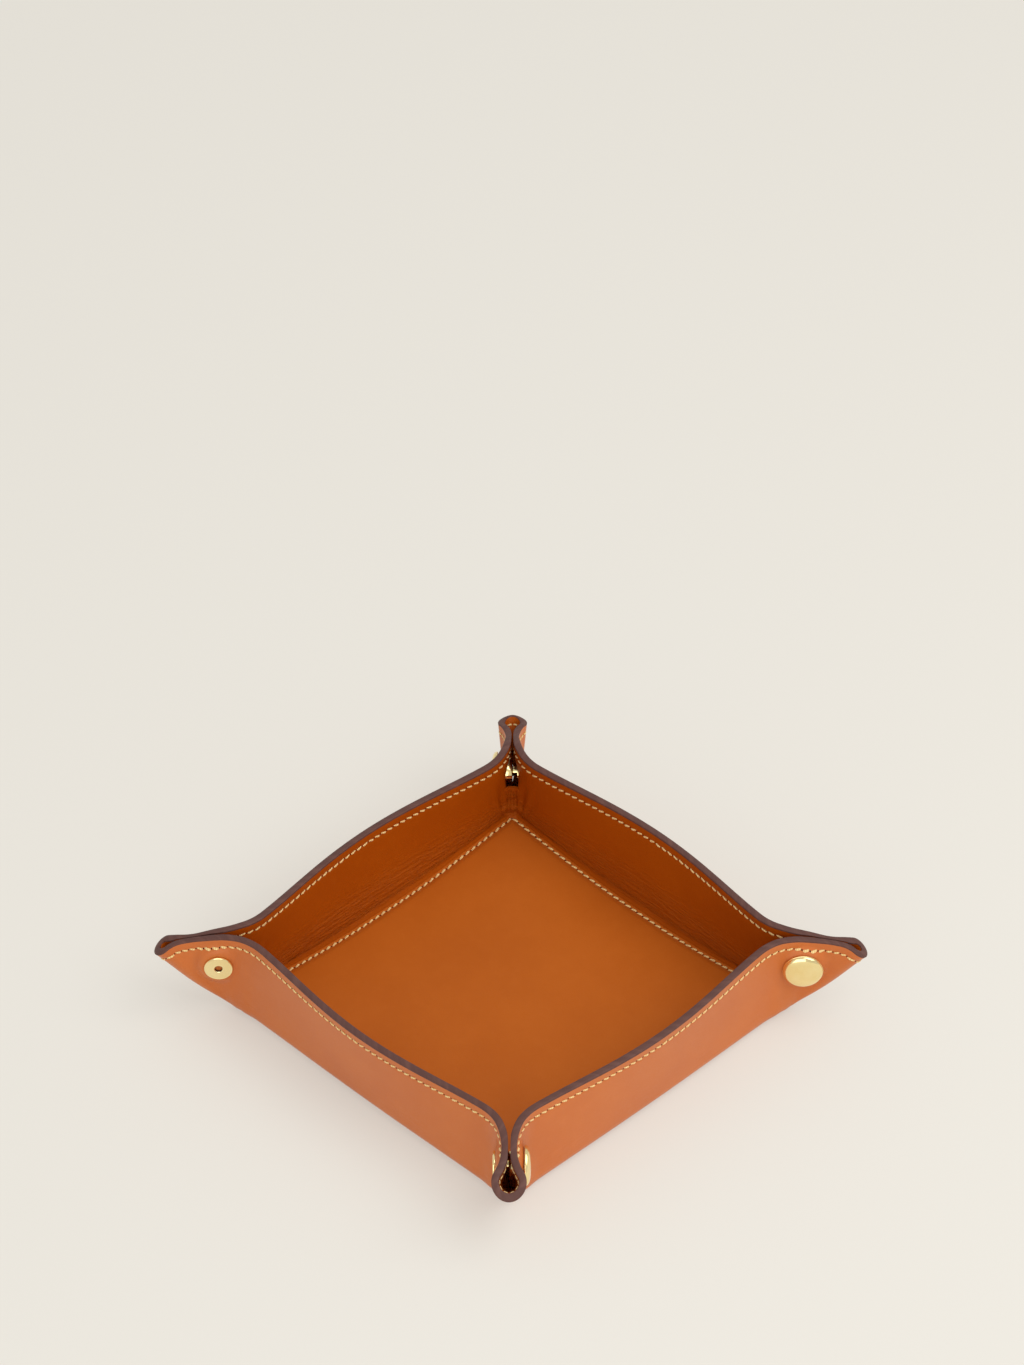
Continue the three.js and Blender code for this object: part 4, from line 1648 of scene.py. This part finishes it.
@dataclass
class Wall:
    """One wall between its two ears, with its painted rim and its stitches."""

    shop: Workshop
    side: Side
    fold_run: float = 5.0
    fold_climb: float = 6.0

    def build(self) -> None:
        """Makes the wall's pieces and fastens them."""
        for layer, word in ((self.shop.outer, "outer_leather"), (self.shop.lining, "lining")):
            self.leather(layer, word)
        self.rim()
        self.stitches()

    def leather(self, layer: Layer, word: str) -> None:
        """One leather of the wall, with the corner feet that its fold runs out into.

        Args:
            layer: the leather.
            word: the node's last word.
        """
        panels, name = self.shop.panels, self.side.wall
        material, slot = self.shop.finish_of(layer)
        shape = Shape()
        grids = ((panels.wall(), 1), (panels.foot(1), 1), (panels.foot(-1), -1))
        area = sum(
            self.shop.add_panel(shape, layer, grid, self.side, UNROLLING[self.side.corner(end)].wall_share)
            for grid, end in grids
        )
        piece = shape.object(f"{name}_{layer.face.name.lower()}", [material, self.shop.finishes.lining])
        start = quarter_turn(np.array([SHEET.base_half, 0.0, 0.0]), self.side.value) * MM
        end = quarter_turn(np.array([SHEET.base_half + self.fold_run, 0.0, self.fold_climb]), self.side.value) * MM
        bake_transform(piece, "base", name, start=tuple(start), end=tuple(end))
        shape.set_weights(piece)
        mount(piece, slot, f"{name}_{word}")

    def rim(self) -> None:
        """The painted edge of the wall."""
        _, v = self.shop.panels.wall()
        edge = (np.full(v.shape[1], SHEET.half), v[-1])
        out = (np.ones(v.shape[1]), np.zeros(v.shape[1]))
        shape = Shape()
        EdgeBead().add(shape, edge, out, self.side, lambda u, v: np.ones_like(u))
        piece = shape.object(f"{self.side.wall}_painted_rim", [self.shop.finishes.edge])
        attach(piece, self.side.wall)
        mount(piece, Slot.OUTER)

    def stitches(self) -> None:
        """The rim's stitches on both faces of the wall."""
        shape = Shape()
        for end in (1, -1):
            Stitching().sew_rim(shape, self.side, end)
        piece = shape.object(f"{self.side.wall}_rim_stitches", [self.shop.finishes.thread, self.shop.finishes.hole])
        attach(piece, self.side.wall)
        mount(piece, Slot.THREAD, f"{self.side.wall}_rim_thread")


@dataclass
class Ear:
    """One half of a pinched corner, at one end of a wall."""

    shop: Workshop
    side: Side
    end: int
    crease_from: tuple[float, float, float] = (67.0, 60.0, 10.0)
    crease_to: tuple[float, float, float] = (72.0, 68.0, 10.0)

    @property
    def share(self) -> Callable:
        """Gives the blend weights of the ear's flat places."""
        return UNROLLING[self.side.corner(self.end)].ear_share

    @property
    def name(self) -> str:
        """The name of the ear's body."""
        return self.side.ear(self.end)

    def mark(self, place: tuple[float, float, float]) -> tuple[float, ...]:
        """A place beside the crease, in metres in the tray's frame."""
        mirrored = np.array(place) * (1, self.end, 1)
        return tuple(quarter_turn(mirrored, self.side.value) * MM)

    def fasten(self, piece: bpy.types.Object, shape: Shape, slot: Slot, *nodes: str) -> None:
        """Blends a piece from the wall to the ear.

        Args:
            piece: the piece.
            shape: the shape that holds its own weights.
            slot: its material slot.
            nodes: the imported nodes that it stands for.
        """
        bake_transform(piece, self.side.wall, self.name, start=self.mark(self.crease_from), end=self.mark(self.crease_to))
        shape.set_weights(piece)
        mount(piece, slot, *nodes)

    def build(self) -> None:
        """Makes the ear's pieces and fastens them."""
        grid = self.shop.panels.ear(self.end)
        strip = self.name.removesuffix("_ear") + "_ridge_leather"
        reach = float(SHEET.rim(QUARTER)) * MM
        for layer, nodes in (
            (self.shop.outer, (f"{self.name}_outer_leather", strip)),
            (self.shop.lining, (f"{self.name}_lining",)),
        ):
            material, slot = self.shop.finish_of(layer)
            shape = Shape()
            area = self.shop.add_panel(shape, layer, grid, self.side, self.share)
            piece = shape.object(f"{self.name}_{layer.face.name.lower()}", [material, self.shop.finishes.lining])
            self.fasten(piece, shape, slot, *nodes)
            below = [f"{self.side.wall}_outer_leather"]
        self.rim(grid)
        self.stitches()

    def rim(self, grid: tuple[Grid, Grid]) -> None:
        """The painted edge of the ear."""
        u, v = grid
        edge = (u[-1], v[-1])
        limit = SHEET.half - SHEET.corner_radius
        x, y = np.maximum(u[-1] - limit, 0), np.maximum(np.abs(v[-1]) - limit, 0)
        length = np.hypot(x, y)
        out = (x / length, self.end * y / length)
        shape = Shape()
        EdgeBead().add(shape, edge, out, self.side, self.share)
        piece = shape.object(f"{self.name}_painted_rim", [self.shop.finishes.edge])
        self.fasten(piece, shape, Slot.OUTER)

    def stitches(self) -> None:
        """The rim's stitches on both faces of the ear."""
        shape = Shape()
        Stitching().sew_rim(shape, self.side, self.end, self.share)
        piece = shape.object(f"{self.name}_rim_stitches", [self.shop.finishes.thread, self.shop.finishes.hole])
        self.fasten(piece, shape, Slot.THREAD)


@dataclass
class Gather:
    """The lining gathered into upright pleats in the foot of one corner's pinch."""

    shop: Workshop
    side: Side
    sunk: float = 0.8
    high: float = 19.5
    wide: float = 4.6
    narrow: float = 2.9
    hollow: float = 0.58
    tuck: float = 0.15
    thickness: float = 0.8
    narrowing: float = 0.8
    flattening: float = 0.4
    pleats: float = 3.0
    pleat_height: float = 0.4
    pleat_span: Span = (-0.2, 1.2)
    rows: int = 48
    columns: int = 65
    keep: float = 0.12
    search: Span = (-30.0, 8.0)
    search_steps: tuple[int, int] = (160, 96)

    @property
    def low(self) -> float:
        """The height of the pleats' foot, just inside the lining of the base's corner."""
        return SHEET.thickness + SHEET.corner_rise - self.sunk

    def edges(self, levels: np.ndarray, reach: np.ndarray) -> np.ndarray:
        """How far out the wall's lining is at heights and distances from the diagonal plane.

        Args:
            levels: the heights.
            reach: the distance from the diagonal plane at each height.

        Returns:
            The places along the diagonal.
        """
        climb, sweep = self.search_steps
        first, last = (SHEET.centre + step for step in self.search)
        u, v = np.meshgrid(
            np.linspace(SHEET.base_half, SHEET.half, climb), np.linspace(first, last, sweep), indexing="ij")
        points = CORNERS[self.side.value].closed(u, v, SHEET.thickness / 2)
        across, out, height = points @ ACROSS, points @ DIAGONAL, points[..., 2]
        found = []
        for level, aside in zip(levels, reach):
            line = sorted(
                tuple(float(np.interp(level, height[:, column], part[:, column])) for part in (across, out))
                for column in range(sweep))
            found.append(np.interp(aside, *zip(*line)))
        return np.array(found)

    def build(self) -> None:
        """Makes the pleats and lays them in the corner."""
        part = np.linspace(0, 1, self.rows)
        levels = self.low + (self.high - self.low) * part
        reach = self.wide + (self.narrow - self.wide) * part**self.narrowing
        edge = self.edges(levels, reach)
        across = np.linspace(-1, 1, self.columns)
        aside = reach[:, None] * across[None]
        crown = 1 - across[None] ** 2
        waves = self.pleat_height * np.cos(across * math.pi * self.pleats)[None] * crown
        depth = self.tuck + (self.hollow * reach * (1 - self.flattening * part))[:, None] * crown
        out = edge[:, None] + depth - waves * bell(*self.pleat_span, part)[:, None]
        up = np.broadcast_to(levels[:, None], out.shape)
        points = np.stack([
            place[..., None] * DIAGONAL + aside[..., None] * ACROSS + up[..., None] * UP
            for place in (out + self.thickness, out)
        ])
        shape = Shape()
        flats = flat_map(SHEET.base_half + up - self.low, SHEET.centre + aside, self.side)
        shape.add(quarter_turn(points, self.side.value), slab_faces(*out.shape), np.stack([flats, flats]))
        piece = shape.object(f"{self.side.corner_name}_pleats", [self.shop.finishes.lining])
        anchor = quarter_turn(DIAGONAL * edge[0] + UP * self.low, self.side.value) * MM
        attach(piece, "base")
        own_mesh(piece)
        mount(piece, Slot.LINING)
        rows = np.linalg.norm(np.diff(points[1], axis=1), axis=-1).sum(1) * MM
        tall = float(np.linalg.norm(np.diff(points[1], axis=0), axis=-1).sum(0).mean()) * MM


@dataclass
class PressStud:
    """The four brass pieces of one corner's press stud, turned on one axis."""

    shop: Workshop
    side: Side
    cap_radius: float = 7.0
    cap_edge: float = 0.6
    cap_dome: float = 1.7
    shank_radius: float = 1.8
    post_radius: float = 5.0
    post_bore: float = 1.35
    socket_radius: float = 5.2
    socket_bore: float = 2.3
    stud_radius: float = 4.8
    knob_radius: float = 2.0
    cap_roll: tuple[Span, ...] = ((0.9, 0.0), (0.96, 0.04), (0.995, 0.18), (1.0, 0.36), (0.992, 0.52))
    dome_share: float = 0.975
    dome_power: float = 0.7
    dome_steps: int = 15
    socket_lip: float = 0.35
    socket_waist: float = 0.15
    socket_edge: tuple[Span, ...] = ((-0.5, 0.0), (-0.12, 0.1), (0.0, 0.35))
    stud_edge: tuple[Span, ...] = ((0.0, 0.0), (0.0, 0.35), (-0.2, 0.5))
    knob_foot: Span = (0.85, 0.62)
    knob_head: tuple[Span, ...] = ((0.85, -0.9), (1.0, -0.5), (0.9, -0.15), (0.5, 0.0))
    post_hole: float = 2.2
    post_lip: tuple[Span, ...] = ((0.0, 2.2), (0.0, 0.15), (0.2, 0.0), (0.5, 0.02))
    post_line: tuple[Span, ...] = ((-0.2, 0.06), (0.0, 0.1), (0.2, 0.06))
    post_lines: Span = (2.3, 4.2)
    post_line_count: int = 3
    post_edge: tuple[Span, ...] = ((-0.3, 0.02), (-0.06, 0.2), (0.0, 0.45))
    post_taper: float = 0.1
    post_gap: float = 0.05
    # The first bands of the post's outline, its bore, take the painted shade of the needle-hole finish.
    bore_shade_bands: int = 2
    crease_angle: float = 32.0
    segments: int = 72

    @property
    def cap_sign(self) -> int:
        """The side of the diagonal plane that the cap is on, in the side's own frame."""
        return 1 if self.side.value % 2 == 0 else -1

    def bodies(self) -> dict[StudPart, str]:
        """The bodies that the pieces ride on."""
        own, other = self.side.ear(1), self.side.neighbour(1).ear(-1)
        capped, posted = (own, other) if self.cap_sign > 0 else (other, own)
        return {StudPart.CAP: capped, StudPart.SOCKET: capped, StudPart.STUD: posted, StudPart.POST: posted}

    @staticmethod
    def beside(radius: float, level: float, steps: Sequence[Span]) -> list[Span]:
        """Points of an outline, each a step out from a radius and up from a level."""
        return [(radius + out, level + up) for out, up in steps]

    @staticmethod
    def scaled(radius: float, level: float, steps: Sequence[Span]) -> list[Span]:
        """Points of an outline, each at a share of a radius and a step up from a level."""
        return [(radius * share, level + up) for share, up in steps]

    def cap_outline(self, lining: float) -> list[Span]:
        """The cap's outline: a shank, a rolled edge and a dome.

        Args:
            lining: the level of the lining behind the cap, where the shank ends.

        Returns:
            The outline.
        """
        level, shank = STUD_SEAT.cap_level, self.shank_radius
        wide, foot = self.cap_radius * self.dome_share, level + self.cap_edge
        dome = [
            (wide * math.cos(turn) ** self.dome_power, foot + self.cap_dome * math.sin(turn))
            for turn in np.linspace(0, math.pi / 2, self.dome_steps)
        ]
        dome[-1] = (0.0, dome[-1][1])
        stem = [(0.0, lining), (shank, lining), (shank, level)]
        return stem + self.scaled(self.cap_radius, level, self.cap_roll) + dome

    def post_outline(self, far: float) -> list[Span]:
        """The post's outline: a bored flange with fine turned lines, and a shank.

        Args:
            far: the level of the lining behind the post, where the shank ends.

        Returns:
            The outline.
        """
        level, shank, wide = -STUD_SEAT.post_level, self.shank_radius, self.post_radius
        face, end = level - STUD_SEAT.post_height, far - self.post_gap
        lines = [
            point for radius in np.linspace(*self.post_lines, self.post_line_count)
            for point in self.beside(radius, face, self.post_line)
        ]
        stem = [(wide - self.post_taper, level), (shank, level), (shank, end), (0.0, end)]
        lip = [(0.0, face + self.post_hole)] + self.beside(self.post_bore, face, self.post_lip)
        return lip + lines + self.beside(wide, face, self.post_edge) + stem

    def profiles(self) -> dict[StudPart, list[Span]]:
        """The pieces' outlines: radius, and distance from the diagonal plane towards the cap."""
        thick = SHEET.thickness + STUD_SEAT.clearance
        low = float(along("right_back_snap_socket", ACROSS).min())
        top = float(along("right_back_snap_stud", ACROSS).max())
        lining, far = STUD_SEAT.cap_level - thick, thick - STUD_SEAT.post_level
        bore, wide, knob = self.socket_bore, self.socket_radius, self.knob_radius
        waist = (bore - self.socket_waist, (low + lining) / 2)
        socket = [(bore, low), (bore + self.socket_lip, low)] + self.beside(wide, low, self.socket_edge)
        stud = [(0.0, far)] + self.beside(self.stud_radius, far, self.stud_edge)
        stud += self.scaled(knob, far, [self.knob_foot]) + self.scaled(knob, top, self.knob_head)
        return {
            StudPart.CAP: self.cap_outline(lining),
            StudPart.SOCKET: socket + [(wide, lining), (bore, lining), waist, (bore, low)],
            StudPart.STUD: stud + [(0.0, top)],
            StudPart.POST: self.post_outline(far),
        }

    def lathe(self, outline: Sequence[Span], dark: int = 0) -> Shape:
        """Turns an outline about the stud's axis.

        Args:
            outline: the outline, from pole to pole or round to its first point.
            dark: how many of its first bands have the second finish, the painted shade of the post's bore.

        Returns:
            The turned shape, in its place.
        """
        centre = STUD_SEAT.centre(self.side.value)
        axis = ACROSS * self.cap_sign
        ring_a, ring_b = UP, np.cross(axis, UP)
        around = np.arange(self.segments) * 2 * math.pi / self.segments
        spokes = np.cos(around)[:, None] * ring_a + np.sin(around)[:, None] * ring_b
        poles = outline[0][0] == 0.0
        path = list(outline) if poles else list(outline[:-1])
        rows, flats, starts = [], [], []
        count = 0
        for radius, distance in path:
            ring = spokes * radius if radius > 0 else spokes[:1] * 0.0
            rows.append(centre + axis * distance + ring)
            flats.append(np.column_stack([around[: len(ring)] / (2 * math.pi), np.full(len(ring), distance)]))
            starts.append((count, len(ring)))
            count += len(ring)
        faces: Faces = []
        pairs = list(zip(starts, starts[1:])) + ([] if poles else [(starts[-1], starts[0])])
        for (a, a_size), (b, b_size) in pairs:
            for here in range(self.segments):
                there = (here + 1) % self.segments
                if a_size == 1:
                    faces.append((a, b + there, b + here))
                elif b_size == 1:
                    faces.append((a + here, a + there, b))
                else:
                    faces.append((a + here, a + there, b + there, b + here))
        shape = Shape()
        points = quarter_turn(np.concatenate(rows), self.side.value)
        shape.add(points, faces, np.concatenate(flats))
        shape.finish[: dark * self.segments] = [1] * (dark * self.segments)
        return shape

    def build(self) -> None:
        """Makes the brass pieces and fastens them to their ears."""
        bodies = self.bodies()
        finishes = [self.shop.finishes.brass, self.shop.finishes.hole]
        for part, outline in self.profiles().items():
            shape = self.lathe(outline, self.bore_shade_bands if part is StudPart.POST else 0)
            piece = shape.object(f"{self.side.corner_name}_{part.value}", finishes, self.crease_angle)
            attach(piece, bodies[part])
            mount(piece, Slot.BRASS, f"{self.side.corner_name}_snap_{part.value}")


@dataclass(frozen=True)
class Lamp:
    """A soft square lamp: its place and its aim in metres, its side and its power."""

    name: str
    place: tuple[float, float, float]
    aim: tuple[float, float, float]
    size: float
    watts: float

    def hang(self) -> None:
        """Hangs the lamp in its place, turned to its aim."""
        data = bpy.data.lights.new(self.name, "AREA")
        data.shape, data.size, data.energy = "SQUARE", self.size, self.watts
        made = bpy.data.objects.new(self.name, data)
        made.location = self.place
        made.rotation_euler = (Vector(self.aim) - Vector(self.place)).to_track_quat("-Z", "Y").to_euler()
        bpy.context.scene.collection.objects.link(made)


@dataclass
class Stage:
    """The pale floor, the soft light and the camera at the photograph's angle."""

    azimuth: float = 45.3
    elevation: float = 43.3
    distance: float = 3.0
    focal_pixels: float = 8685.0
    image: tuple[int, int] = (1024, 1365)
    origin_pixel: tuple[float, float] = (510.8, 1006.5)
    sensor: float = 36.0
    clip: Span = (0.01, 50.0)
    floor_size: float = 9.0
    floor_level: float = -0.00005
    floor_tone: Tone = (236, 232, 223)
    floor_roughness: float = 0.9
    floor_specular: float = 0.1
    backdrop_tone: Tone = (234, 230, 221)
    backdrop_share: float = 0.5
    air_colour: tuple[float, float, float, float] = (1.0, 0.99, 0.975, 1.0)
    air_strength: float = 0.66
    lamps: tuple[Lamp, ...] = (
        Lamp("side_softbox", (0.75, 0.35, 1.15), (0.0, 0.0, 0.0), 1.2, 9.0),
        Lamp("front_fill", (0.75, -1.0, 0.5), (0.0, 0.0, 0.02), 1.0, 3.9),
    )

    def build(self) -> None:
        """Makes the floor, the lights and the camera."""
        self.floor()
        self.lights()
        self.camera()
        bpy.context.scene.view_settings.view_transform = "Standard"

    def floor(self) -> None:
        """A plain pale floor just under the tray."""
        half, level = self.floor_size / 2, self.floor_level
        mesh = bpy.data.meshes.new("studio_floor")
        corners = [(-half, -half, level), (half, -half, level), (half, half, level), (-half, half, level)]
        mesh.from_pydata(corners, [], [(0, 1, 2, 3)])
        material, bench = new_material("pale_floor")
        lit = bench.node("ShaderNodeBsdfPrincipled", {}, {
            "Base Color": linear(*self.floor_tone), "Roughness": self.floor_roughness,
            "Specular IOR Level": self.floor_specular})
        pale = bench.node("ShaderNodeEmission", {}, {"Color": linear(*self.backdrop_tone), "Strength": 1.0})
        sight = bench.node("ShaderNodeLightPath", {}, {})
        seen = sight["Is Camera Ray"] + sight["Is Glossy Ray"] + sight["Is Transmission Ray"]
        shader = bench.node("ShaderNodeMixShader", {}, {0: seen * self.backdrop_share, 1: lit[0], 2: pale[0]})
        bench.surface(shader)
        mesh.materials.append(material)
        made = bpy.data.objects.new("studio_floor", mesh)
        bpy.context.scene.collection.objects.link(made)
        made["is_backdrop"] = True

    def lights(self) -> None:
        """The lamps, and an even pale world."""
        world = bpy.data.worlds.new("studio_air")
        bpy.context.scene.world = world
        world.use_nodes = True
        bench = Bench(world.node_tree)
        air = bench.node("ShaderNodeBackground", {}, {"Color": self.air_colour, "Strength": self.air_strength})
        bench.node("ShaderNodeOutputWorld", {}, {"Surface": air[0]})
        for lamp in self.lamps:
            lamp.hang()

    def camera(self) -> None:
        """The camera, turned so that the tray's middle falls on its pixel of the image."""
        width, height = self.image
        data = bpy.data.cameras.new("photo_camera")
        data.sensor_fit, data.sensor_width = "AUTO", self.sensor
        data.lens = self.focal_pixels / max(width, height) * self.sensor
        data.clip_start, data.clip_end = self.clip
        made = bpy.data.objects.new("photo_camera", data)
        bpy.context.scene.collection.objects.link(made)
        turn, tilt = math.radians(self.azimuth), math.radians(self.elevation)
        place = Vector((math.sin(turn) * math.cos(tilt), -math.cos(turn) * math.cos(tilt), math.sin(tilt)))
        made.location = place * self.distance
        pitch = math.atan((self.origin_pixel[1] - height / 2) / self.focal_pixels)
        yaw = math.atan((self.origin_pixel[0] - width / 2) / self.focal_pixels)
        aim = (-place).to_track_quat("-Z", "Y") @ Euler((pitch, yaw, 0.0)).to_quaternion()
        made.rotation_euler = aim.to_euler()
        bpy.context.scene.camera = made


def main() -> None:
    """Builds the stage and the tray."""
    logging.basicConfig(level=logging.INFO, format="%(name)s: %(message)s")
    Stage().build()
    shop = Workshop(Finishes())
    Base(shop).build()
    for side in Side:
        Wall(shop, side).build()
        for end in (1, -1):
            Ear(shop, side, end).build()
        Gather(shop, side).build()
        PressStud(shop, side).build()
    boxes = {"cad": CAD_BOX, "visual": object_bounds()}
    plain = {name: [[float(number) for number in corner] for corner in box] for name, box in boxes.items()}
    LOG.info("sizes written")


if __name__ == "__main__":
    main()
